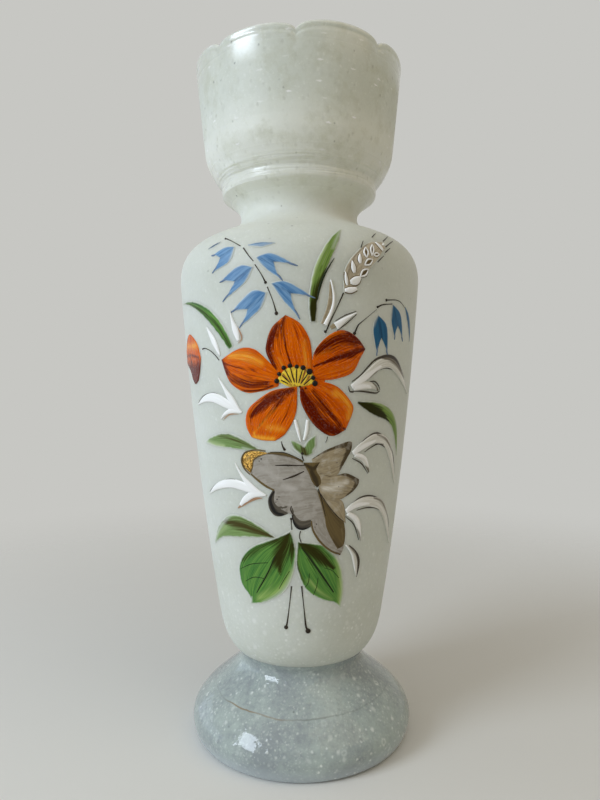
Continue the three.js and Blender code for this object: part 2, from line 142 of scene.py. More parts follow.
def smooth_path(points: Sequence[Point], steps: int) -> np.ndarray:
    """Draws a smooth curve through points.

    Args:
        points: the points that it passes.
        steps: how many pieces it is cut into.

    Returns:
        steps + 1 points, evenly spaced by length.
    """
    given = np.array(points, float)
    if len(given) == 2:
        return given[0] + np.linspace(0, 1, steps + 1)[:, None] * (given[1] - given[0])
    padded = np.vstack([given[:1], given, given[-1:]])
    share = np.linspace(0, 1, SPAN_STEPS + 1)[:, None]
    spans = [
        0.5 * (
            2 * b + (c - a) * share + (2 * a - 5 * b + 4 * c - d) * share**2
            + (3 * b - a - 3 * c + d) * share**3
        )
        for a, b, c, d in zip(padded, padded[1:], padded[2:], padded[3:])
    ]
    fine = np.vstack([span[:-1] for span in spans] + [given[-1:]])
    lengths = np.r_[0, np.cumsum(np.hypot(*np.diff(fine, axis=0).T))]
    wanted = np.linspace(0, lengths[-1], steps + 1)
    return np.stack([np.interp(wanted, lengths, fine[:, i]) for i in (0, 1)], 1)


def distance_to(places: np.ndarray, path: np.ndarray) -> tuple[np.ndarray, np.ndarray]:
    """Measures how far places are from a path.

    Args:
        places: the places, one per row.
        path: the path's points, one per row.

    Returns:
        The shortest distance of each place, and how far along the path its nearest point is.
    """
    start, run = path[:-1], np.diff(path, axis=0)
    offset = places[:, None] - start
    square = np.maximum((run**2).sum(1), 1e-12)
    share = np.clip((offset * run).sum(2) / square, 0, 1)
    gaps = np.hypot(*np.moveaxis(offset - share[..., None] * run, 2, 0))
    nearest = gaps.argmin(1)
    row = np.arange(len(places))
    return gaps[row, nearest], (nearest + share[row, nearest]) / len(run)


def join_bends(bends: Sequence[np.ndarray]) -> np.ndarray:
    """Joins bends that follow each other into one line."""
    return np.vstack([bends[0]] + [following[1:] for following in bends[1:]])


@dataclass(frozen=True)
class Edge:
    """One edge of a deposit: smooth bends that meet in corners."""

    bends: tuple[Path, ...]

    def at(self, shares: np.ndarray) -> np.ndarray:
        """Finds points of the edge.

        Args:
            shares: how far along the edge each point lies, from 0 to 1.

        Returns:
            The points, one per row.
        """
        whole = join_bends([smooth_path(path, CURVE_STEPS) for path in self.bends])
        marks = np.linspace(0, 1, len(whole))
        return np.stack([np.interp(shares, marks, whole[:, i]) for i in (0, 1)], 1)


def edge(*bends: Path) -> Edge:
    """Makes an edge of one or more smooth bends."""
    return Edge(tuple(bends))


@dataclass(frozen=True)
class Touch:
    """One pass of a second tone over a deposit, with a loaded brush."""

    path: Path
    widths: tuple[float, ...]
    strength: float = 1.0
    softness: float = 0.6

    def cover(self, places: np.ndarray) -> np.ndarray:
        """Works out how fully the pass covers places.

        Args:
            places: the places, one per row.

        Returns:
            A share from 0 to strength for each place.
        """
        gap, along = distance_to(places, smooth_path(self.path, CURVE_STEPS))
        marks = np.linspace(0, 1, len(self.widths))
        half = np.interp(along, marks, self.widths) / 2
        inside = np.clip((half - gap) / np.maximum(half * self.softness, 1e-6), 0, 1)
        return self.strength * inside


@dataclass(frozen=True)
class Deposit:
    """One deposit of enamel, spread between four edges.

    left and right run from the start of the brush's way to its end, and start and end join
    them. under is how much enamel already lies below it, shade and light are the darker and
    paler passes over it, and thin is where the brush ran dry and the glass shows through.
    """

    left: Edge
    right: Edge
    start: Edge | None = None
    end: Edge | None = None
    under: float = 0.0
    shade: tuple[Touch, ...] = ()
    light: tuple[Touch, ...] = ()
    thin: tuple[Touch, ...] = ()

    def spread(self, across: np.ndarray, along: np.ndarray) -> np.ndarray:
        """Places points between the four edges.

        Args:
            across: shares from the left edge to the right one.
            along: shares from the start to the end.

        Returns:
            The points, one per row.
        """
        left, right = self.left.at(along), self.right.at(along)
        ends = [
            given.at(across) if given else a + across[:, None] * (b - a)
            for given, a, b in (
                (self.start, self.left.at(np.zeros(1)), self.right.at(np.zeros(1))),
                (self.end, self.left.at(np.ones(1)), self.right.at(np.ones(1)))
            )
        ]
        u, v = across[:, None], along[:, None]
        corners = [side.at(np.array([share])) for side in (self.left, self.right) for share in (0, 1)]
        flat = (
            (1 - u) * (1 - v) * corners[0] + (1 - u) * v * corners[1]
            + u * (1 - v) * corners[2] + u * v * corners[3]
        )
        return (1 - u) * left + u * right + (1 - v) * ends[0] + v * ends[1] - flat

    def outline(self) -> np.ndarray:
        """Draws the deposit's outline.

        Returns:
            One closed ring of points, one per row.
        """
        marks, zero = np.linspace(0, 1, OUTLINE_STEPS + 1), np.zeros(OUTLINE_STEPS + 1)
        return np.vstack([
            self.spread(marks, zero), self.spread(zero + 1, marks), self.spread(marks[::-1], zero + 1),
            self.spread(zero, marks[::-1])
        ])


def brush(path: Path, widths: tuple[float, ...], **more: object) -> Deposit:
    """Makes a deposit that one stroke of a loaded brush leaves.

    Args:
        path: the middle of the stroke.
        widths: its widths, evenly spread from its start to its end.
        **more: the other fields of the deposit.

    Returns:
        The deposit.
    """
    middle = smooth_path(path, CURVE_STEPS)
    drawn = smooth_path(list(zip(np.linspace(0, 1, len(widths)), widths)), CURVE_STEPS * 4)
    swell = np.interp(np.linspace(0, 1, CURVE_STEPS + 1), *drawn.T)
    run = np.gradient(middle, axis=0)
    run /= np.maximum(np.hypot(*run.T), 1e-9)[:, None]
    side = np.stack([run[:, 1], -run[:, 0]], 1) * np.maximum(swell, THINNEST_STROKE)[:, None] / 2
    left, right = ([tuple(point) for point in row] for row in (middle - side, middle + side))
    return Deposit(edge(tuple(left)), edge(tuple(right)), **more)


# The blown glass


def bend(start: Point, leave: Point, arrive: Point, end: Point, steps: int) -> np.ndarray:
    """Draws one bend of a glass outline.

    Args:
        start: where it begins, as (radius, height).
        leave: how it sets off.
        arrive: how it comes in.
        end: where it ends.
        steps: how many pieces it is cut into.

    Returns:
        steps + 1 points.
    """
    a, d = np.array(start), np.array(end)
    b, c = np.add(start, leave), np.subtract(end, arrive)
    t = np.linspace(0, 1, steps + 1)[:, None]
    return a * (1 - t) ** 3 + 3 * b * t * (1 - t) ** 2 + 3 * c * t**2 * (1 - t) + d * t**3


def bends_between(corners: Sequence[Point], pulls: Sequence[Pull]) -> list[np.ndarray]:
    """Draws the bends of a glass outline.

    Args:
        corners: where the bends meet, as (radius, height).
        pulls: how each bend sets off and comes in, and how many pieces it is cut into.

    Returns:
        The points of each bend.
    """
    return [
        bend(start, leave, arrive, end, steps)
        for start, end, (leave, arrive, steps) in zip(corners, corners[1:], pulls)
    ]


def offset_outline(outline: np.ndarray, distance: float, kept: float = 0.985) -> np.ndarray:
    """Moves an outline to its left by a distance, and drops what a tight bend folds over.

    Args:
        outline: points of the outline.
        distance: how far it moves.
        kept: the share of the distance that a moved point has to stay away from the outline.

    Returns:
        The moved points.
    """
    run = np.gradient(outline, axis=0)
    run /= np.hypot(*run.T)[:, None]
    moved = outline + np.stack([-run[:, 1], run[:, 0]], 1) * distance
    gap, _ = distance_to(moved, outline)
    return moved[gap > abs(distance) * kept]


def close_skin(bm: Mesh, weld: float) -> None:
    """Welds the points of a mesh that meet, and turns its faces outward.

    Args:
        bm: the mesh.
        weld: points closer than this become one.
    """
    bmesh.ops.remove_doubles(bm, verts=bm.verts, dist=weld)
    bmesh.ops.dissolve_degenerate(bm, dist=weld / 10, edges=bm.edges)
    bmesh.ops.recalc_face_normals(bm, faces=bm.faces)


def turned(outline: np.ndarray, segments: int) -> Mesh:
    """Turns an outline round the upright axis, as glass is shaped on the iron.

    Args:
        outline: (radius, height) points, from axis to axis.
        segments: how many steps one turn takes.

    Returns:
        A closed mesh in millimetres, facing out.
    """
    bm = bmesh.new()
    ring = [bm.verts.new((0, -radius, height)) for radius, height in outline]
    edges = [bm.edges.new(pair) for pair in zip(ring, ring[1:])]
    bmesh.ops.spin(
        bm, geom=ring + edges, cent=(0, 0, 0), axis=(0, 0, 1), angle=math.tau, steps=segments, use_merge=True,
        use_duplicate=False
    )
    close_skin(bm, 1e-4)
    if bm.calc_volume(signed=True) < 0:
        bmesh.ops.reverse_faces(bm, faces=bm.faces)
    return bm


def place(
    name: str, bm: Mesh, material: bpy.types.Material, nodes: Iterable[str] = (),
    sharp: float = 60.0
) -> bpy.types.Object:
    """Puts a finished mesh in the scene as one piece of the vase.

    Args:
        name: the piece's name.
        bm: its mesh in millimetres, freed here.
        material: its finish.
        nodes: the solids that it stands for.
        sharp: edges bent by more than this many degrees stay crisp.

    Returns:
        The new object.
    """
    bmesh.ops.scale(bm, vec=(MM,) * 3, verts=bm.verts)
    mesh = bpy.data.meshes.new(name)
    bm.to_mesh(mesh)
    bm.free()
    mesh.shade_smooth()
    mesh.set_sharp_from_angle(angle=math.radians(sharp))
    mesh.materials.append(material)
    piece = bpy.data.objects.new(name, mesh)
    bpy.context.scene.collection.objects.link(piece)
    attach(piece, BODY)
    if nodes:
        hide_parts(*nodes)
    LOG.info("%s: %d faces", name, len(mesh.polygons))
    return piece


# Finishes of the glass


def stirred(tree: Tree, coordinates: Socket, swirl_mm: float = 0.9) -> Socket:
    """Shifts coordinates a little from place to place, as hot glass is stirred.

    Args:
        tree: the material's node tree.
        coordinates: the coordinates that are shifted.
        swirl_mm: how far, which draws round bubbles out of shape.

    Returns:
        The coordinate socket.
    """
    swirl = add_node(tree, "TexNoise", {"Vector": coordinates, "Scale": 1 / (swirl_mm * MM)})
    return add_node(
        tree, "VectorMath", {0: swirl.outputs["Color"], 1: (swirl_mm * MM,) * 3, 2: coordinates},
        operation="MULTIPLY_ADD"
    ).outputs[0]


def off_level(tree: Tree, height: Socket, level: float | Node) -> Node:
    """Adds the nodes that measure how far a height lies from a level.

    Args:
        tree: the material's node tree.
        height: the height, in metres.
        level: the level, in metres.

    Returns:
        The node that gives the distance.
    """
    off = add_node(tree, "Math", {0: height, 1: level}, operation="SUBTRACT")
    return add_node(tree, "Math", {0: off}, operation="ABSOLUTE")


def unrolled(tree: Tree, place_on: Socket, radius_mm: float) -> Socket:
    """Adds coordinates that lay the glass flat: the way round it, and the height.

    Args:
        tree: the material's node tree.
        place_on: the coordinates on the object.
        radius_mm: the radius at which lengths round the glass are true.

    Returns:
        The coordinate socket.
    """
    axes = add_node(tree, "SeparateXYZ", {0: place_on})
    front = add_node(tree, "Math", {0: axes.outputs[1], 1: -1.0}, operation="MULTIPLY")
    azimuth = add_node(tree, "Math", {0: axes, 1: front}, operation="ARCTAN2")
    way = add_node(tree, "Math", {0: azimuth, 1: radius_mm * MM}, operation="MULTIPLY")
    return add_node(tree, "CombineXYZ", {0: way, 1: axes.outputs[2]}).outputs[0]


@dataclass(frozen=True)
class OpalineTint:
    """Milky tint of opaline glass: white that drifts between cool and warm in slow clouds."""

    pale: str = "#d7dbd2"
    deep: str = "#ccd0c5"
    cloud_mm: float = 34.0
    frost_mm: float = 1.5
    frost: float = 0.5

    def socket(self, tree: Tree, place_on: Socket) -> Socket:
        """Adds the tint's nodes.

        Args:
            tree: the material's node tree.
            place_on: the coordinates that the clouds follow.

        Returns:
            The colour socket.
        """
        cloud = add_node(tree, "TexNoise", {
            "Vector": place_on, "Scale": 1 / (self.cloud_mm * MM), "Detail": 3.0, "Roughness": 0.55
        })
        frost = add_node(tree, "TexNoise", {
            "Vector": place_on, "Scale": 1 / (self.frost_mm * MM), "Detail": 4.0, "Roughness": 0.7
        })
        both = add_node(tree, "Math", {0: frost, 1: self.frost, 2: cloud}, operation="MULTIPLY_ADD")
        share = add_node(tree, "MapRange", {
            "Value": both, "From Min": 0.32 + self.frost / 2, "From Max": 0.68 + self.frost / 2
        })
        tint = add_node(tree, "Mix", {0: share, 6: linear(self.deep), 7: linear(self.pale)}, data_type="RGBA")
        return tint.outputs[2]


@dataclass(frozen=True)
class SeedsAndGlints:
    """Gas bubbles caught in blown glass and grit from the pot, a scatter that the surface cuts; white dashes
    drawn the same way are painted glints.

    share is how many of the scatter's places hold one, stretch how much longer they are than wide (below 1
    they lie along the rim, as the painted glints do), hollow how clear their middle is, and band the height
    that they keep to and how far they stray from it.
    """

    tone: str
    spacing_mm: float
    radius_mm: float
    strength: float
    share: float = 0.5
    stretch: float = 1.0
    hollow: float = 0.0
    band: tuple[float, float] = (150.0, 300.0)
    rim_radius: float = 44.0

    def over(self, tree: Tree, place_on: Socket, colour: Socket) -> Socket:
        """Adds the nodes that lay the dots over a colour.

        Args:
            tree: the material's node tree.
            place_on: the coordinates on the object.
            colour: the colour below.

        Returns:
            The colour socket.
        """
        height = add_node(tree, "SeparateXYZ", {0: place_on}).outputs[2]
        # Scatters that lie along the rim are the painted glints.
        lying = self.stretch < 1
        along = unrolled(tree, place_on, self.rim_radius) if lying else place_on
        scale = (1.0, 1 / self.stretch, 1.0) if lying else (1.0, 1.0, 1 / self.stretch)
        drawn = add_node(tree, "VectorMath", {0: stirred(tree, along), 1: scale}, operation="MULTIPLY")
        cells = add_node(
            tree, "TexVoronoi", {"Vector": drawn, "Scale": 1 / (self.spacing_mm * MM)},
            voronoi_dimensions="2D" if lying else "3D"
        )
        radius = self.radius_mm / self.spacing_mm
        dot = add_node(
            tree, "MapRange",
            {"Value": cells.outputs["Distance"], "From Min": radius * 1.7, "From Max": radius * 0.3},
            interpolation_type="SMOOTHSTEP"
        )
        middle = add_node(tree, "MapRange", {
            "Value": cells.outputs["Distance"], "From Min": radius * 0.9, "From Max": radius * 0.5,
            "To Min": 1.0, "To Max": 1 - self.hollow
        })
        luck = add_node(tree, "SeparateColor", {0: cells.outputs["Color"]})
        chosen = add_node(tree, "Math", {0: luck, 1: 1 - self.share}, operation="GREATER_THAN")
        weight = add_node(tree, "MapRange", {"Value": luck.outputs[1], "To Min": 0.25, "To Max": 1.0})
        level, reach = (size * MM for size in self.band)
        stray = off_level(tree, height, level)
        near = add_node(tree, "MapRange", {"Value": stray, "From Min": reach, "From Max": reach * 0.5})
        drift = add_node(tree, "TexNoise", {
            "Vector": place_on, "Scale": 1 / (self.spacing_mm * 6 * MM), "Detail": 1.0
        })
        crowd = add_node(tree, "MapRange", {
            "Value": drift, "From Min": 0.36, "From Max": 0.6, "To Min": 0.15
        })
        mask = dot
        for factor in (middle, chosen, weight, near, crowd, self.strength):
            mask = add_node(tree, "Math", {0: mask, 1: factor}, operation="MULTIPLY")
        return add_node(tree, "Mix", {0: mask, 6: colour, 7: linear(self.tone)}, data_type="RGBA").outputs[2]


@dataclass(frozen=True)
class SatinOpaline:
    """Opaline glass, blown and matted in an acid bath: light sinks in, and shine spreads wide.

    The bands are heights and how far they reach either side. From where the thick band starts to where it is
    fullest, the glass above and below the groove turns paler: thicker glass there, and painted light that
    lifts the shade under the crown. The lip is remelted, so it is glossy, and a thin glaze runs down from it.
    """

    tint: OpalineTint = OpalineTint()
    # Bubbles, specks and milky mottles of the glass, and one scatter of painted glints.
    seeds_and_glints: tuple[SeedsAndGlints, ...] = (
        SeedsAndGlints("#eef1ea", 1.5, 0.3, 0.45, 0.7), SeedsAndGlints("#f0f3ec", 3.4, 0.5, 0.4, 0.7, 1.3),
        SeedsAndGlints("#f6f8f3", 1.9, 0.5, 0.6, 0.8, 1.1, band=(46.0, 44.0)),
        SeedsAndGlints("#f4f6f1", 4.6, 0.9, 0.5, 0.8, 1.3, band=(56.0, 56.0)),
        SeedsAndGlints("#8d917e", 3.4, 1.2, 0.14, 0.5, 1.1, band=(266.0, 48.0)),
        SeedsAndGlints("#fbfcf8", 2.3, 0.5, 0.34, 0.5, 1.2, band=(262.0, 48.0)),
        # Painted glints: short white dashes round the crown that stand for highlights of the window.
        SeedsAndGlints("#ffffff", 13.0, 1.05, 1.0, 0.35, 0.3, band=(280.0, 40.0)),
        SeedsAndGlints("#3f3d34", 5.0, 0.42, 0.9, 0.5, band=(262.0, 76.0)),
        SeedsAndGlints("#77745f", 2.6, 0.6, 0.32, 0.35, 1.3, band=(272.0, 52.0))
    )
    # Paler tone round the collar and groove: thicker glass, and painted light that lifts the shade under the
    # crown.
    thick_and_lit_tone: str = "#f4f5ea"
    thick_and_lit_band: tuple[float, float] = (32.0, 6.0)
    thick: float = 0.6
    patch_tone: str = "#b3b39a"
    patch_mm: float = 11.0
    patch_swirl_mm: float = 2.0
    patch_strength: float = 0.36
    patch_band: tuple[float, float] = (276.0, 50.0)
    grain_mm: float = 0.9
    wave_mm: float = 16.0
    waves: float = 4.0
    draw_mark_mm: tuple[float, float] = (26.0, 1.1)
    draw_marks: float = 60.0
    draw_radius: float = 36.0
    relief_mm: float = 0.05
    scatter_mm: float = 6.0
    roughness: float = 0.52
    polished_roughness: float = 0.2
    polished_band: tuple[float, float] = (250.0, 11.0)
    marked_reach: float = 6.5
    lip_roughness: float = 0.1
    lip_height: float = 300.8
    lip_reach: float = 12.0
    glaze_reach: float = 13.0
    glaze: float = 0.8
    glaze_roughness: float = 0.22

    def make(self) -> bpy.types.Material:
        """Builds the material.

        Returns:
            The new material.
        """
        material, tree = new_material("satin_opaline_glass")
        place_on = add_node(tree, "TexCoord").outputs["Object"]
        height = add_node(tree, "SeparateXYZ", {0: place_on}).outputs[2]
        middle, reach = (size * MM for size in self.polished_band)
        away = off_level(tree, height, middle)
        # Paler towards the groove: thicker glass, and painted light in the shade under the crown.
        thin_from, thick_from = (size * MM for size in self.thick_and_lit_band)
        thick = add_node(
            tree, "MapRange",
            {"Value": away, "From Min": thin_from, "From Max": thick_from, "To Max": self.thick},
            interpolation_type="SMOOTHSTEP"
        )
        colour = add_node(
            tree, "Mix", {0: thick, 6: self.tint.socket(tree, place_on), 7: linear(self.thick_and_lit_tone)},
            data_type="RGBA"
        ).outputs[2]
        colour = self.patches(tree, place_on, height, colour)
        for seeds_and_glints in self.seeds_and_glints:
            colour = seeds_and_glints.over(tree, place_on, colour)
        polish = add_node(
            tree, "MapRange", {"Value": away, "From Min": reach, "From Max": reach * 0.5},
            interpolation_type="SMOOTHSTEP"
        )
        crown_gloss = add_node(tree, "MapRange", {
            "Value": polish, "To Min": self.roughness, "To Max": self.polished_roughness
        })
        gloss = add_node(tree, "MapRange", {
            "Value": height, "From Min": (self.lip_height - self.lip_reach) * MM,
            "From Max": self.lip_height * MM, "To Min": crown_gloss, "To Max": self.lip_roughness
        })
        grain, waves = (
            add_node(tree, "TexNoise", {"Vector": place_on, "Scale": 1 / (size * MM), "Detail": 2.0})
            for size in (self.grain_mm, self.wave_mm)
        )
        relief = add_node(tree, "Math", {0: waves, 1: self.waves, 2: grain}, operation="MULTIPLY_ADD")
        ruling = (1 / (self.draw_mark_mm[0] * MM), 1 / (self.draw_mark_mm[1] * MM), 1.0)
        ruled = add_node(
            tree, "VectorMath", {0: unrolled(tree, place_on, self.draw_radius), 1: ruling},
            operation="MULTIPLY"
        )
        marks = add_node(tree, "TexNoise", {"Vector": ruled, "Scale": 1.0, "Detail": 1.0})
        marked = add_node(
            tree, "MapRange",
            {"Value": away, "From Min": self.marked_reach * MM, "From Max": self.marked_reach * 0.4 * MM},
            interpolation_type="SMOOTHSTEP"
        )
        kept = add_node(tree, "Math", {0: marks, 1: marked}, operation="MULTIPLY")
        relief = add_node(tree, "Math", {0: kept, 1: self.draw_marks, 2: relief}, operation="MULTIPLY_ADD")
        bump = add_node(tree, "Bump", {"Strength": 0.3, "Distance": self.relief_mm * MM, "Height": relief})
        glazed = add_node(
            tree, "MapRange",
            {
                "Value": height, "From Min": (self.lip_height - self.glaze_reach) * MM,
                "From Max": (self.lip_height - self.glaze_reach / 3) * MM, "To Max": self.glaze
            },
            interpolation_type="SMOOTHSTEP"
        )
        shader = add_node(tree, "BsdfPrincipled", {
            "Base Color": colour, "Roughness": gloss, "IOR": 1.5, "Normal": bump, "Subsurface Weight": 0.5,
            "Subsurface Radius": (1.0, 1.0, 0.85), "Subsurface Scale": self.scatter_mm * MM,
            "Coat Weight": glazed, "Coat Roughness": self.glaze_roughness
        })
        close_material(tree, shader)
        return material

    def patches(self, tree: Tree, place_on: Socket, height: Socket, colour: Socket) -> Socket:
        """Lays soft olive patches over the crown, where the glass is unevenly milky.

        Args:
            tree: the material's node tree.
            place_on: the coordinates on the object.
            height: the height on the object.
            colour: the colour below.

        Returns:
            The colour socket.
        """
        middle, reach = (size * MM for size in self.patch_band)
        stray = off_level(tree, height, middle)
        near = add_node(tree, "MapRange", {
            "Value": stray, "From Min": reach, "From Max": reach / 2, "To Max": self.patch_strength
        })
        uneven = add_node(tree, "TexNoise", {
            "Vector": stirred(tree, place_on, self.patch_swirl_mm), "Scale": 1 / (self.patch_mm * MM),
            "Detail": 5.0, "Roughness": 0.68
        })
        patch = add_node(tree, "MapRange", {"Value": uneven, "From Min": 0.5, "From Max": 0.68})
        share = add_node(tree, "Math", {0: patch, 1: near}, operation="MULTIPLY")
        return add_node(
            tree, "Mix", {0: share, 6: colour, 7: linear(self.patch_tone)}, data_type="RGBA"
        ).outputs[2]


@dataclass(frozen=True)
class FirePolishedOpaline:
    """Opaline glass, blown and left as the fire polished it: thin, greyer, full of bubbles.

    A worn gilt ring runs round it. It is fullest near gilt_left_at, sways by ring_sway and is rubbed away in
    places. The thick band is the heights between which the glass thickens and turns paler and bluer, partly
    as a painted bluish reflection along the ground ring.
    """

    tint: OpalineTint = OpalineTint("#abb7b2", "#8f9799", 26.0, 2.2, 0.7)
    # Paler, bluer tone at the bottom: the thicker ground ring, and a painted bluish reflection along it.
    thick_and_lit_tone: str = "#b6c0c6"
    thick_and_lit_band: tuple[float, float] = (9.0, 1.0)
    thick: float = 0.7
    seeds_and_glints: tuple[SeedsAndGlints, ...] = (
        SeedsAndGlints("#d6ddd8", 1.1, 0.28, 0.5, 0.8), SeedsAndGlints("#dfe6e0", 1.8, 0.4, 0.6, 0.8),
        SeedsAndGlints("#edf2ee", 2.9, 0.5, 0.85, 0.8), SeedsAndGlints("#eef3ef", 5.0, 0.8, 0.75, 0.7),
        SeedsAndGlints("#e8eee9", 7.0, 1.15, 0.8, 0.7, 1.0, 0.95), SeedsAndGlints("#35322b", 14.0, 0.45, 0.9, 0.7)
    )
    gilt_tone: str = "#8d7655"
    worn_tone: str = "#7c827c"
    gilt_left_at: tuple[float, float, float] = (-21.0, -38.0, 22.0)
    gilt_left_reach: float = 20.0
    roughness: float = 0.07
    ring_height: float = 22.0
    ring_width: float = 0.42
    ring_sway: float = 0.7
    wear_mm: float = 24.0
    rub_mm: float = 31.0
    wave_mm: float = 20.0
    pit_spacing_mm: float = 2.6
    pit_band: tuple[float, float] = (0.42, 0.1)
    pit: float = 0.9
    relief_mm: float = 0.25
    scatter_mm: float = 3.0

    def make(self) -> bpy.types.Material:
        """Builds the material.

        Returns:
            The new material.
        """
        material, tree = new_material("fire_polished_opaline_glass")
        place_on = add_node(tree, "TexCoord").outputs["Object"]
        height = add_node(tree, "SeparateXYZ", {0: place_on}).outputs[2]
        # Paler and bluer towards the ground: thicker glass, and a painted bluish reflection.
        thin_from, thick_from = (size * MM for size in self.thick_and_lit_band)
        thick = add_node(
            tree, "MapRange",
            {"Value": height, "From Min": thin_from, "From Max": thick_from, "To Max": self.thick},
            interpolation_type="SMOOTHSTEP"
        )
        colour = add_node(
            tree, "Mix", {0: thick, 6: self.tint.socket(tree, place_on), 7: linear(self.thick_and_lit_tone)},
            data_type="RGBA"
        ).outputs[2]
        for seeds_and_glints in self.seeds_and_glints:
            colour = seeds_and_glints.over(tree, place_on, colour)
        wear = add_node(tree, "TexNoise", {
            "Vector": place_on, "Scale": 1 / (self.wear_mm * MM), "Detail": 5.0
        })
        sway = add_node(tree, "MapRange", {
            "Value": wear, "From Min": 0.3, "From Max": 0.7,
            "To Min": (self.ring_height - self.ring_sway) * MM,
            "To Max": (self.ring_height + self.ring_sway) * MM
        })
        near_ring = off_level(tree, height, sway)
        ring = add_node(tree, "MapRange", {
            "Value": near_ring, "From Min": self.ring_width * MM * 0.65,
            "From Max": self.ring_width * MM * 0.3
        })
        rubbed = add_node(tree, "TexNoise", {
            "Vector": place_on, "Scale": 1 / (self.rub_mm * MM), "Detail": 3.0
        })
        off_gilt = add_node(
            tree, "VectorMath", {0: place_on, 1: tuple(size * MM for size in self.gilt_left_at)},
            operation="DISTANCE"
        )
        worn = add_node(tree, "MapRange", {
            "Value": off_gilt.outputs["Value"], "From Min": self.gilt_left_reach * MM,
            "From Max": self.gilt_left_reach * 0.6 * MM
        })
        far = add_node(tree, "MapRange", {
            "Value": off_gilt.outputs["Value"], "From Min": self.gilt_left_reach * MM,
            "From Max": self.gilt_left_reach * 2 * MM, "To Min": 0.75, "To Max": 0.3
        })
        kept = add_node(tree, "MapRange", {"Value": rubbed, "From Min": 0.36, "From Max": 0.6, "To Max": far})
        faint = add_node(tree, "Math", {0: ring, 1: kept}, operation="MULTIPLY")
        gilt = add_node(
            tree, "Mix", {0: worn, 6: linear(self.worn_tone), 7: linear(self.gilt_tone)}, data_type="RGBA"
        )
        colour = add_node(tree, "Mix", {0: faint, 6: colour, 7: gilt.outputs[2]}, data_type="RGBA").outputs[2]
        waves = add_node(tree, "TexNoise", {
            "Vector": place_on, "Scale": 1 / (self.wave_mm * MM), "Detail": 1.5
        })
        pits = add_node(tree, "TexVoronoi", {
            "Vector": stirred(tree, place_on), "Scale": 1 / (self.pit_spacing_mm * MM)
        })
        pit = add_node(
            tree, "MapRange",
            {
                "Value": pits.outputs["Distance"], "From Min": self.pit_band[0], "From Max": self.pit_band[1],
                "To Max": self.pit
            },
            interpolation_type="SMOOTHSTEP"
        )
        relief = add_node(tree, "Math", {0: waves, 1: pit})
        bump = add_node(tree, "Bump", {"Strength": 0.3, "Distance": self.relief_mm * MM, "Height": relief})
        shader = add_node(tree, "BsdfPrincipled", {
            "Base Color": colour, "Roughness": self.roughness, "IOR": 1.5, "Normal": bump,
            "Subsurface Weight": 0.15, "Subsurface Radius": (1.0, 1.0, 0.9),
            "Subsurface Scale": self.scatter_mm * MM
        })
        close_material(tree, shader)
        return material


# Finishes of the enamels


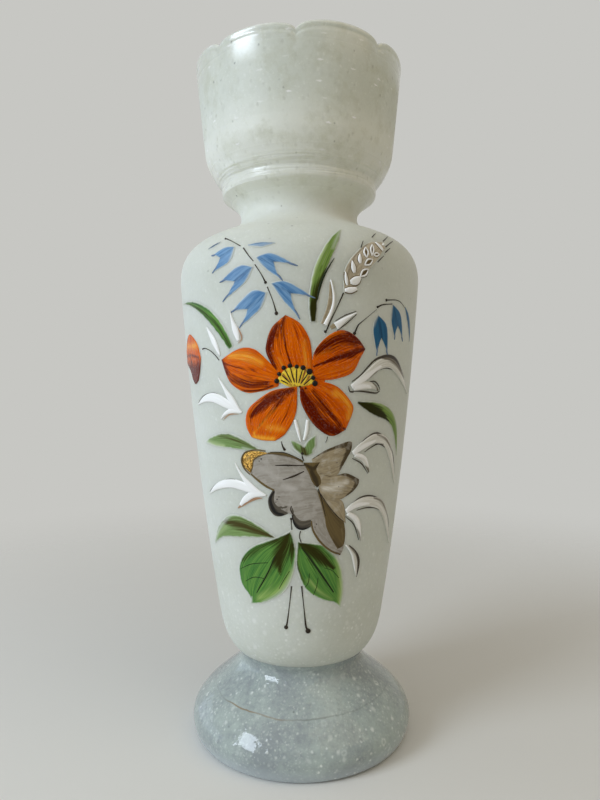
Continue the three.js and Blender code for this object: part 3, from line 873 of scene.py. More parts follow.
@dataclass(frozen=True)
class FiredEnamel:
    """Glass colour ground in oil, brushed on and fired: streaks, thin edges and a wet shine.

    flux is how far the clear flux floated up, which leaves wet specks that catch the window,
    and blotch how far the paler colour broke through in the kiln. A band is where, on a scale
    from 0 to 1, such a change starts and where it is full.
    """

    name: str
    tone: str
    second: str
    shade: str
    light: str = "#ffffff"
    streak_mm: float = 0.8
    streak_length_mm: float = 16.0
    raggedness: float = 0.5
    unevenness: float = 0.6
    soft_edge_mm: float = 0.4
    roughness: float = 0.3
    ridge_mm: float = 0.04
    shine: float = 0.25
    gleam: str = "#ffffff"
    metallic: float = 0.0
    flux: float = 0.0
    blotch: float = 0.0
    mottle_mm: float = 2.4
    blotch_band: tuple[float, float] = (0.5, 0.64)
    lump_mm: float = 0.7
    lump_height_mm: float = 0.4
    flux_band: tuple[float, float] = (0.57, 0.66)

    def make(self) -> bpy.types.Material:
        """Builds the material. It reads what the deposit's mesh holds: its edges and passes.

        Returns:
            The new material.
        """
        material, tree = new_material(self.name)
        place_on = add_node(tree, "TexCoord").outputs["Object"]
        grain, margin, shade, light, thin = (
            add_node(tree, "Attribute", attribute_name=name).outputs[socket]
            for name, socket in (
                ("grain", "Vector"), ("margin", "Fac"), ("shade", "Fac"), ("light", "Fac"), ("thin", "Fac")
            )
        )
        drawn = add_node(
            tree, "VectorMath", {0: grain, 1: (1 / self.streak_mm, 1 / self.streak_length_mm, 1.0)},
            operation="MULTIPLY"
        )
        streaks = add_node(tree, "TexNoise", {
            "Vector": drawn, "Scale": 1.0, "Detail": 5.0, "Roughness": 0.62
        })
        mottle = add_node(tree, "TexNoise", {
            "Vector": place_on, "Scale": 1 / (self.mottle_mm * MM), "Detail": 3.0
        })
        loads = add_node(tree, "TexNoise", {"Vector": drawn, "Scale": 0.22, "Detail": 2.0, "Roughness": 0.5})
        blend = add_node(tree, "MapRange", {"Value": streaks, "From Min": 0.38, "From Max": 0.62})
        colour = add_node(
            tree, "Mix", {0: blend, 6: linear(self.tone), 7: linear(self.second)}, data_type="RGBA"
        ).outputs[2]
        for passes, tone, uneven in ((light, self.light, self.unevenness), (shade, self.shade, 0.0)):
            loaded = add_node(tree, "Math", {0: loads, 1: uneven, 2: passes}, operation="MULTIPLY_ADD")
            torn = add_node(
                tree, "Math", {0: streaks, 1: self.raggedness, 2: loaded}, operation="MULTIPLY_ADD"
            )
            cover = add_node(
                tree, "MapRange",
                {
                    "Value": torn, "From Min": 0.12 + (self.raggedness + uneven) / 2,
                    "From Max": 0.88 + (self.raggedness + uneven) / 2
                },
                interpolation_type="SMOOTHSTEP"
            )
            colour = add_node(
                tree, "Mix", {0: cover, 6: colour, 7: linear(tone)}, data_type="RGBA"
            ).outputs[2]
        broken = add_node(tree, "MapRange", {
            "Value": mottle, "From Min": self.blotch_band[0], "From Max": self.blotch_band[1],
            "To Max": self.blotch
        })
        colour = add_node(
            tree, "Mix", {0: broken, 6: colour, 7: linear(self.light)}, data_type="RGBA"
        ).outputs[2]
        frayed = add_node(
            tree, "Math", {0: mottle, 1: self.soft_edge_mm, 2: margin}, operation="MULTIPLY_ADD"
        )
        full = add_node(
            tree, "MapRange",
            {"Value": frayed, "From Min": self.soft_edge_mm * 0.5, "From Max": self.soft_edge_mm * 1.5},
            interpolation_type="SMOOTHSTEP"
        )
        torn = add_node(tree, "Math", {0: streaks, 1: 1.6, 2: 0.2}, operation="MULTIPLY_ADD")
        gone = add_node(tree, "Math", {0: torn, 1: thin}, operation="MULTIPLY")
        cover = add_node(tree, "MapRange", {"Value": gone, "To Min": full, "To Max": 0.0})
        colour = add_node(
            tree, "Mix", {0: cover, 6: OpalineTint().socket(tree, place_on), 7: colour}, data_type="RGBA"
        ).outputs[2]
        bump = add_node(tree, "Bump", {"Strength": 0.8, "Distance": self.ridge_mm * MM, "Height": streaks})
        gloss = add_node(tree, "MapRange", {
            "Value": mottle, "To Min": self.roughness * 0.7, "To Max": self.roughness * 1.3
        })
        lumps = add_node(tree, "TexNoise", {
            "Vector": place_on, "Scale": 1 / (self.lump_mm * MM), "Detail": 2.0, "Roughness": 0.6
        })
        floated = add_node(tree, "MapRange", {
            "Value": lumps, "From Min": self.flux_band[0], "From Max": self.flux_band[1], "To Max": self.flux
        })
        wet_bump = add_node(tree, "Bump", {
            "Strength": 1.0, "Distance": self.lump_height_mm * MM, "Height": lumps, "Normal": bump
        })
        shader = add_node(tree, "BsdfPrincipled", {
            "Base Color": colour, "Roughness": gloss, "IOR": 1.5, "Specular IOR Level": self.shine,
            "Specular Tint": linear(self.gleam), "Metallic": self.metallic, "Normal": bump,
            "Coat Weight": floated, "Coat Roughness": 0.1, "Coat IOR": 1.6, "Coat Normal": wet_bump
        })
        close_material(tree, shader)
        return material


class Enamel(Enum):
    """The enamels of the palette."""

    ORANGE = FiredEnamel(
        "orange_petal_enamel", "#ec7204", "#c04400", "#580900", "#fdae34", streak_mm=0.42,
        streak_length_mm=9.0, raggedness=1.5, unevenness=0.5, soft_edge_mm=0.12, roughness=0.24,
        ridge_mm=0.28, shine=0.32, gleam="#ff8c48", flux=0.9
    )
    YELLOW = FiredEnamel(
        "yellow_heart_enamel", "#fee244", "#d2a232", "#8a4a1c", "#f6ea8c", streak_mm=0.5,
        streak_length_mm=2.4, raggedness=1.0, soft_edge_mm=0.1, ridge_mm=0.1, flux=0.5
    )
    GREEN = FiredEnamel(
        "green_leaf_enamel", "#6a9846", "#3c7238", "#2e2e0e", "#9cb868", streak_mm=0.55, raggedness=1.3,
        unevenness=0.6, soft_edge_mm=0.8, roughness=0.32, ridge_mm=0.12, shine=0.14, gleam="#e4eaa0"
    )
    SAGE = FiredEnamel(
        "sage_leaf_enamel", "#86a266", "#6c864e", "#463f1e", "#aabc88", streak_mm=0.6, raggedness=1.2,
        unevenness=0.6, soft_edge_mm=0.9, roughness=0.34, ridge_mm=0.08, shine=0.14, gleam="#e4eaa0"
    )
    OLIVE = FiredEnamel(
        "olive_leaf_enamel", "#829e4e", "#607c3a", "#2b2b0c", "#b4c88c", streak_mm=0.55, raggedness=1.2,
        unevenness=0.6, soft_edge_mm=0.7, roughness=0.32, ridge_mm=0.12, shine=0.1, gleam="#e0e690"
    )
    BLUE = FiredEnamel(
        "blue_bell_enamel", "#7aa2c8", "#4a7cae", "#3a536e", "#a9c4da", streak_mm=1.1, streak_length_mm=8.0,
        raggedness=0.9, unevenness=0.9, soft_edge_mm=0.6, roughness=0.34, shine=0.2
    )
    SLATE = FiredEnamel(
        "slate_tip_enamel", "#7b90ad", "#5f7696", "#3a4a5e", "#a4b4c6", streak_mm=0.5, streak_length_mm=4.0,
        raggedness=0.7, soft_edge_mm=0.2, roughness=0.34, shine=0.15
    )
    DEEP_BLUE = FiredEnamel(
        "deep_blue_bell_enamel", "#2b6890", "#1f567e", "#123654", "#5f8fb0", streak_mm=0.8,
        streak_length_mm=8.0, raggedness=0.9, soft_edge_mm=0.4, roughness=0.34, shine=0.15
    )
    WHITE = FiredEnamel(
        "white_relief_enamel", "#ffffff", "#f8f9f6", "#8c8578", "#ffffff", streak_mm=1.6, raggedness=0.3,
        soft_edge_mm=0.08, roughness=0.2, ridge_mm=0.08
    )
    GHOST = FiredEnamel(
        "thin_white_enamel", "#eeede7", "#d3d1c7", "#6c6250", "#ffffff", streak_mm=0.7, raggedness=0.9,
        soft_edge_mm=0.15, roughness=0.2, ridge_mm=0.12, flux=0.7
    )
    MAUVE = FiredEnamel(
        "mauve_grey_wing_enamel", "#a8a298", "#928b80", "#665c4a", "#bcb6ae", streak_mm=0.7,
        streak_length_mm=5.0, raggedness=1.1, unevenness=1.0, soft_edge_mm=0.08, roughness=0.36,
        ridge_mm=0.08, flux=0.35, blotch=0.4
    )
    TAUPE = FiredEnamel(
        "taupe_wing_enamel", "#ae9f82", "#8f8166", "#4b3d22", "#e0dacd", streak_mm=0.7, streak_length_mm=5.0,
        raggedness=1.1, soft_edge_mm=0.08, roughness=0.36, ridge_mm=0.08, flux=0.35, blotch=0.22
    )
    FAWN = FiredEnamel(
        "fawn_ear_enamel", "#cfc5b0", "#b0a48c", "#66594a", "#d8d0c0", streak_mm=0.8, streak_length_mm=5.0,
        raggedness=1.0, soft_edge_mm=0.5, roughness=0.36
    )
    BROWN = FiredEnamel(
        "brown_shadow_enamel", "#6f5d36", "#5e4e2d", "#3a2d14", "#90805c", streak_mm=0.8, raggedness=0.5,
        soft_edge_mm=0.15, roughness=0.36
    )
    SOOT = FiredEnamel(
        "soot_shadow_enamel", "#625b4e", "#4a443a", "#12100d", "#8b8478", streak_mm=0.9, raggedness=0.5,
        soft_edge_mm=0.15, roughness=0.36
    )
    RUST = FiredEnamel(
        "rust_blush_enamel", "#b08a6c", "#a47c5e", "#7c5a40", "#cdb49c", streak_mm=0.6, raggedness=0.9,
        soft_edge_mm=0.3, roughness=0.36
    )
    SEPIA = FiredEnamel(
        "sepia_outline_enamel", "#4a4034", "#3a3127", "#261f17", "#8c826e", streak_mm=0.6, raggedness=0.5,
        soft_edge_mm=0.1, roughness=0.34, ridge_mm=0.03
    )
    INK = FiredEnamel(
        "dark_line_enamel", "#3a3127", "#2c251d", "#1c1814", "#6b6152", streak_mm=0.5, raggedness=0.4,
        soft_edge_mm=0.05, roughness=0.34, ridge_mm=0.03, shine=0.15
    )
    MOSS = FiredEnamel(
        "dark_vein_enamel", "#28341a", "#1d2612", "#10150a", "#4b5a34", streak_mm=0.5, raggedness=0.4,
        soft_edge_mm=0.1, roughness=0.36, shine=0.1
    )
    BLACK = FiredEnamel(
        "black_bead_enamel", "#161311", "#201b17", "#0c0b0a", "#3a342c", streak_mm=0.5, raggedness=0.4,
        soft_edge_mm=0.03, roughness=0.22, ridge_mm=0.02, shine=0.15
    )
    GILT = FiredEnamel(
        "fired_gilding", "#f6c468", "#54340e", "#3a260c", "#ffe6ae", streak_mm=0.55, streak_length_mm=0.58,
        raggedness=1.4, soft_edge_mm=0.1, roughness=0.36, ridge_mm=0.5, shine=0.5, metallic=1.0
    )


class Relief(Enum):
    """How thick an enamel is laid and how wide its edges are rounded, in millimetres."""

    WASH = (0.16, 0.6)
    PETAL = (0.42, 1.0)
    RAISED = (0.5, 0.6)
    LINE = (0.24, 0.6)


Coat = tuple[Enamel, str, Deposit]


# Sub-assemblies


@dataclass
class BlownBody:
    """The blown body: bowl, shoulder, neck, collar and lobed crown, closed over its inner wall.

    pulls says how each bend of the outer face sets off, comes in and is cut, from the bottom up.
    """

    heel_radius: float = 38.0
    shoulder_radius: float = 54.7
    neck_radius: float = 26.9
    collar_radius: float = 35.4
    groove_radius: float = 35.9
    crown_wall_radius: float = 43.1
    rim_radius: float = 47.1
    bowl_bottom: float = 30.3
    heel_height: float = 58.0
    shoulder_height: float = 206.0
    neck_height: float = 236.0
    collar_height: float = 246.0
    groove_height: float = 250.6
    crown_wall_height: float = 264.0
    height: float = 304.0
    wall: float = 2.8
    heart_below_shoulder: float = 43.0
    segments: int = 288
    lobed_band: float = 18.0
    lip_groove_height: float = 300.9
    lip_groove_depth: float = 0.34
    lip_groove_width: float = 0.6
    tool_mark_height: float = 268.4
    tool_mark_depth: float = 0.1
    tool_mark_width: float = 0.7
    tool_mark_azimuth: float = -38.0
    pinch_depth: float = 1.0
    pinch_sharpness: float = 9.0
    lobe_fullness: float = 2.3
    notch_azimuths: tuple[float, ...] = (-1.2, 45.5, 89.4, 135.8, 180.6, 224.5, 270.4, 314.6)
    lobe_tops: tuple[float, ...] = (303.6, 304.0, 303.1, 303.7, 302.9, 303.5, 303.6, 302.6)
    notch_heights: tuple[float, ...] = (299.6, 300.2, 299.9, 299.5, 300.1, 299.7, 300.0, 300.2)
    pulls: tuple[Pull, ...] = (
        ((32.6, 0), (2.1, 13.2), 22), ((9.5, 56.8), (1.1, 20.4), 26), ((0, 23.7), (0, 11.2), 26),
        ((0, 5.8), (0.7, 1.6), 12), ((0.4, 1.5), (0.4, 1.5), 5), ((2.2, 2), (0.9, 5.5), 12),
        ((0.7, 5.5), (1.3, 12), 56)
    )
    outer: np.ndarray = field(init=False)

    def __post_init__(self) -> None:
        """Draws the outer outline once."""
        self.outer = self.outline()

    def outline(self) -> np.ndarray:
        """Draws the outer face from the middle of its bottom up to the rim.

        Returns:
            (radius, height) points, one per row.
        """
        corners = (
            (0, self.bowl_bottom), (self.heel_radius, self.heel_height),
            (self.shoulder_radius, self.shoulder_height), (self.neck_radius, self.neck_height),
            (self.collar_radius, self.collar_height), (self.groove_radius, self.groove_height),
            (self.crown_wall_radius, self.crown_wall_height), (self.rim_radius, self.height - self.wall / 2)
        )
        return join_bends(bends_between(corners, self.pulls))

    def radius_at(self, heights: float | np.ndarray) -> float | np.ndarray:
        """Reads the outer radius at one height or at several."""
        return np.interp(heights, self.outer[:, 1], self.outer[:, 0])

    def on_glass(self, places: np.ndarray, lift: np.ndarray) -> np.ndarray:
        """Lays places of the painting on the outer face.

        Args:
            places: (round, above) places, one per row.
            lift: how far each one stands off the glass.

        Returns:
            Points in space, one per row, in millimetres.
        """
        height = self.shoulder_height - self.heart_below_shoulder + places[:, 1]
        radius = self.radius_at(height)
        lean = self.radius_at(height + 0.5) - self.radius_at(height - 0.5)
        steep = np.hypot(lean, 1)
        azimuth = places[:, 0] / radius
        out = radius + lift / steep
        return np.stack([out * np.sin(azimuth), -out * np.cos(azimuth), height - lift * lean / steep], 1)

    def lobe(self, azimuth: float) -> tuple[float, float]:
        """Shapes the rim at an azimuth, in degrees.

        Args:
            azimuth: degrees round the rim, to the right from the front.

        Returns:
            The rim's height there, and how strongly it is pinched, from 0 to 1.
        """
        marks = list(self.notch_azimuths) + [self.notch_azimuths[0] + 360]
        turned_to = (azimuth - marks[0]) % 360 + marks[0]
        index = max(i for i in range(len(marks) - 1) if marks[i] <= turned_to)
        share = (turned_to - marks[index]) / (marks[index + 1] - marks[index])
        after = (index + 1) % len(self.notch_heights)
        notch = self.notch_heights[index] * (1 - share) + self.notch_heights[after] * share
        across = 2 * share - 1
        rise = math.sqrt(max(0.0, 1 - abs(across) ** self.lobe_fullness))
        return notch + (self.lobe_tops[index] - notch) * rise, abs(across) ** self.pinch_sharpness

    def shape_crown(self, bm: Mesh) -> None:
        """Sinks and pinches the rim between the lobes.

        Args:
            bm: the turned body.
        """
        for vert in bm.verts:
            radius, height = math.hypot(vert.co.x, vert.co.y), vert.co.z
            if height < self.crown_wall_height:
                continue
            azimuth = math.degrees(math.atan2(vert.co.x, -vert.co.y))
            share = max(0.0, min(1.0, (height - self.height + self.lobed_band) / self.lobed_band))
            share = share * share * (3 - 2 * share)
            top, pinch = self.lobe(azimuth)
            drawn_in = self.pinch_depth * pinch * share * share
            if radius > self.radius_at(height) - self.wall / 2:
                off_mark = (height - self.tool_mark_height) / self.tool_mark_width
                facing = max(0.0, math.cos(math.radians(azimuth - self.tool_mark_azimuth))) ** 4
                drawn_in += self.tool_mark_depth * facing * math.exp(-off_mark * off_mark)
                off_lip = (height - self.lip_groove_height) / self.lip_groove_width
                drawn_in += self.lip_groove_depth * math.exp(-off_lip * off_lip)
            vert.co.x *= 1 - drawn_in / radius
            vert.co.y *= 1 - drawn_in / radius
            vert.co.z -= (self.height - top) * share

    def build(self) -> Mesh:
        """Blows the body: outer face, fire-rounded lip and inner wall in one skin.

        Returns:
            The closed mesh.
        """
        inner = offset_outline(self.outer, self.wall)[1:][::-1][::3]
        outside, inside = self.outer[-1], inner[0]
        turn = np.linspace(0, 1, LIP_STEPS + 1)[1:-1]
        lip = np.stack([
            (outside[0] + inside[0]) / 2 + (outside[0] - inside[0]) / 2 * np.cos(turn * math.pi),
            outside[1] + (inside[1] - outside[1]) * turn
            + (self.height - max(outside[1], inside[1])) * np.sin(turn * math.pi)
        ], 1)
        floor = [(0, self.bowl_bottom + self.wall)]
        bm = turned(np.vstack([self.outer, lip, inner, floor]), self.segments)
        self.shape_crown(bm)
        return bm

    def dress(self) -> bpy.types.Object:
        """Builds the body and gives it its satin glass."""
        return place("blown_body", self.build(), SatinOpaline().make(), ["vase_body"], 80)


@dataclass
class AppliedFoot:
    """The foot, blown apart from the body and stuck to it hot: a hollow dome on a ground ring.

    ripples are shallow waves that the tools left round it, as (height, depth, width). pulls says
    how each bend sets off, comes in and is cut, from the top of the hollow out to the seat.
    """

    radius: float = 50.6
    bulge_height: float = 8.0
    ring_inset: float = 4.2
    ring_width: float = 4.4
    seat_height: float = 39.2
    waist_drop: float = 4.2
    waist_inset: float = 2.0
    hollow_height: float = 22.0
    gap: float = 0.02
    segments: int = 192
    ripples: tuple[tuple[float, float, float], ...] = ((22.0, 0.1, 0.8), (15.5, 0.12, 1.4), (33.0, 0.08, 1.2))
    pulls: tuple[Pull, ...] = (
        ((29.5, 0), (0, -9), 20), ((0.4, 0), (0.4, 0), 3), ((2.2, 0), (0, 4), 10), ((0, 11), (0, 7.5), 80),
        ((0, 1.6), (0.6, 1.2), 6)
    )

    def build(self, body: BlownBody) -> Mesh:
        """Blows the foot round the bottom of the body.

        Args:
            body: the body that it carries.

        Returns:
            The closed mesh.
        """
        ring = self.radius - self.ring_inset
        seat = (float(body.radius_at(self.seat_height)), self.seat_height)
        waist = (seat[0] - self.waist_inset, self.seat_height - self.waist_drop)
        corners = (
            (0, self.hollow_height), (ring - self.ring_width, 0), (ring, 0), (self.radius, self.bulge_height),
            waist, seat
        )
        bends = bends_between(corners, self.pulls)
        flank = bends[3]
        for height, depth, width in self.ripples:
            flank[:, 0] -= depth * np.exp(-(((flank[:, 1] - height) / width) ** 2))
        bowl = body.outer[body.outer[:, 1] < self.seat_height]
        bed = offset_outline(np.vstack([bowl, [seat]]), -self.gap)[1:][::-1]
        middle = [(0, body.bowl_bottom - self.gap)]
        return turned(np.vstack([join_bends(bends), bed, middle]), self.segments)

    def dress(self, body: BlownBody) -> bpy.types.Object:
        """Builds the foot and gives it its glossy glass."""
        finish = FirePolishedOpaline().make()
        return place("blown_foot", self.build(body), finish, ["applied_foot"], 50)


@dataclass
class Painter:
    """Lays deposits of enamel on the body and keeps one material for each enamel.

    cell is how finely a deposit is meshed. film is how far its thinnest edge stands off what it
    lies on, and sunk and bead_sunk how deep its underside sits in that. unmarked is the margin
    where no edge is near, and grain_shift sets the streaks of one deposit apart from the next.
    """

    body: BlownBody
    cell: float = 0.5
    least_cells: tuple[int, int] = (6, 10)
    most_cells: int = 72
    film: float = 0.03
    sunk: float = 0.06
    bead_sunk: float = 0.1
    unmarked: float = 9.0
    grain_shift: float = 7.3
    materials: dict[Enamel, bpy.types.Material] = field(default_factory=dict)
    laid: int = 0

    def material(self, enamel: Enamel) -> bpy.types.Material:
        """Gives the material of an enamel, made when it is first needed.

        Args:
            enamel: the enamel.

        Returns:
            Its material.
        """
        if enamel not in self.materials:
            self.materials[enamel] = enamel.value.make()
        return self.materials[enamel]

    def settle(
        self, verts: Sequence[bmesh.types.BMVert], layers: bmesh.types.BMLayerAccessVert, points: np.ndarray,
        grain: np.ndarray, **marks: np.ndarray
    ) -> None:
        """Moves a deposit's points onto the glass and writes down what its material reads.

        Args:
            verts: the mesh points.
            layers: the mesh's point layers.
            points: where each one goes, in millimetres.
            grain: the streaks' coordinates at each one.
            **marks: the values of the other layers by name.
        """
        for i, vert in enumerate(verts):
            vert.co = points[i]
            vert[layers.float_vector["grain"]] = (*grain[i], self.grain_shift * self.laid)
            for name, values in marks.items():
                vert[layers.float[name]] = values[i]
        self.laid += 1

    def lay(self, bm: Mesh, deposit: Deposit, relief: Relief) -> None:
        """Spreads one deposit as a thin closed body whose edges are rounded.

        Args:
            bm: the mesh that gets it, with the layers of start_mesh.
            deposit: its shape and its passes.
            relief: how thick it is laid.
        """
        thickness, rounding = relief.value
        marks = np.linspace(0, 1, MEASURED_STEPS + 1)
        middle = deposit.spread(marks * 0 + 0.5, marks)
        length = np.hypot(*np.diff(middle, axis=0).T).sum()
        cross = deposit.spread(marks * 0, marks) - deposit.spread(marks * 0 + 1, marks)
        width = np.hypot(*cross.T).max()
        columns, rows = (
            int(np.clip(size / self.cell, least, self.most_cells)) // 2 * 2
            for size, least in zip((width, length), self.least_cells)
        )
        sheet = bmesh.ops.create_grid(bm, x_segments=columns, y_segments=rows, size=1)["verts"]
        faces = list({face for vert in sheet for face in vert.link_faces})
        grown = bmesh.ops.extrude_face_region(bm, geom=faces, use_keep_orig=True)["geom"]
        verts = sheet + [item for item in grown if isinstance(item, bmesh.types.BMVert)]
        flat = np.array([vert.co[:2] for vert in verts])
        across, along = (np.sin(flat * math.pi / 2) + 1).T / 2
        places = deposit.spread(across, along)
        margin, _ = distance_to(places, deposit.outline())
        margin[(np.abs(flat) > 1 - 1e-4).any(1)] = 0
        dome = np.sqrt(1 - (1 - np.clip(margin / rounding, 0, 1)) ** 2)
        lift = deposit.under + self.film + thickness * dome
        lift[len(sheet):] = deposit.under - self.sunk
        if deposit.under:
            margin[:] = self.unmarked
        shade, light, thin = (
            1 - np.prod([1 - touch.cover(places) for touch in touches], 0)
            if touches else np.zeros(len(places))
            for touches in (deposit.shade, deposit.light, deposit.thin)
        )
        self.settle(
            verts, bm.verts.layers, self.body.on_glass(places, lift),
            np.stack([(across - 0.5) * width, along * length], 1), margin=margin, shade=shade, light=light,
            thin=thin
        )

    def bead(self, bm: Mesh, place_at: Point, radius: float, height: float, under: float) -> None:
        """Sets one domed drop of enamel.

        Args:
            bm: the mesh that gets it, with the layers of start_mesh.
            place_at: its middle.
            radius: its radius on the glass.
            height: how far it stands up.
            under: how much enamel lies below it.
        """
        verts = bmesh.ops.create_icosphere(bm, subdivisions=2, radius=1)["verts"]
        ball = np.array([vert.co[:] for vert in verts])
        places = np.array(place_at) + ball[:, :2] * radius
        lift = under + np.maximum(ball[:, 2] * height, -self.bead_sunk)
        margin = np.full(len(verts), self.unmarked)
        self.settle(verts, bm.verts.layers, self.body.on_glass(places, lift), places, margin=margin)

    @staticmethod
    def start_mesh() -> Mesh:
        """Starts a mesh that can hold what the enamel's material reads.

        Returns:
            An empty mesh with its layers.
        """
        bm = bmesh.new()
        for name in ("margin", "shade", "light", "thin"):
            bm.verts.layers.float.new(name)
        bm.verts.layers.float_vector.new("grain")
        return bm

    def piece(
        self, name: str, enamel: Enamel, slot: str, deposits: Iterable[Deposit], relief: Relief,
        nodes: Iterable[str] = (), beads: Iterable[Bead] = ()
    ) -> bpy.types.Object:
        """Fires several deposits of one enamel as one piece.

        Args:
            name: the piece's name.
            enamel: which enamel it is.
            slot: the record's material slot; not used.
            deposits: the deposits that run together.
            relief: how thick they are laid.
            nodes: the solids that the piece stands for.
            beads: drops as (place, radius, height, under).

        Returns:
            The new object.
        """
        bm = self.start_mesh()
        for deposit in deposits:
            self.lay(bm, deposit, relief)
        for bead in beads:
            self.bead(bm, *bead)
        close_skin(bm, 1e-3)
        return place(name, bm, self.material(enamel), nodes)

    def strokes(
        self, name: str, enamel: Enamel, slot: str, strokes: Iterable[Stroke], relief: Relief = Relief.LINE,
        under: float = 0.0, beads: Iterable[Bead] = ()
    ) -> bpy.types.Object:
        """Fires plain strokes of one enamel as one piece.

        Args:
            name: the piece's name.
            enamel: which enamel it is.
            slot: the record's material slot; not used.
            strokes: each stroke's path and widths.
            relief: how thick they are laid.
            under: how much enamel lies below them.
            beads: drops as (place, radius, height, under).

        Returns:
            The new object.
        """
        deposits = [brush(path, widths, under=under) for path, widths in strokes]
        return self.piece(name, enamel, slot, deposits, relief, beads=beads)


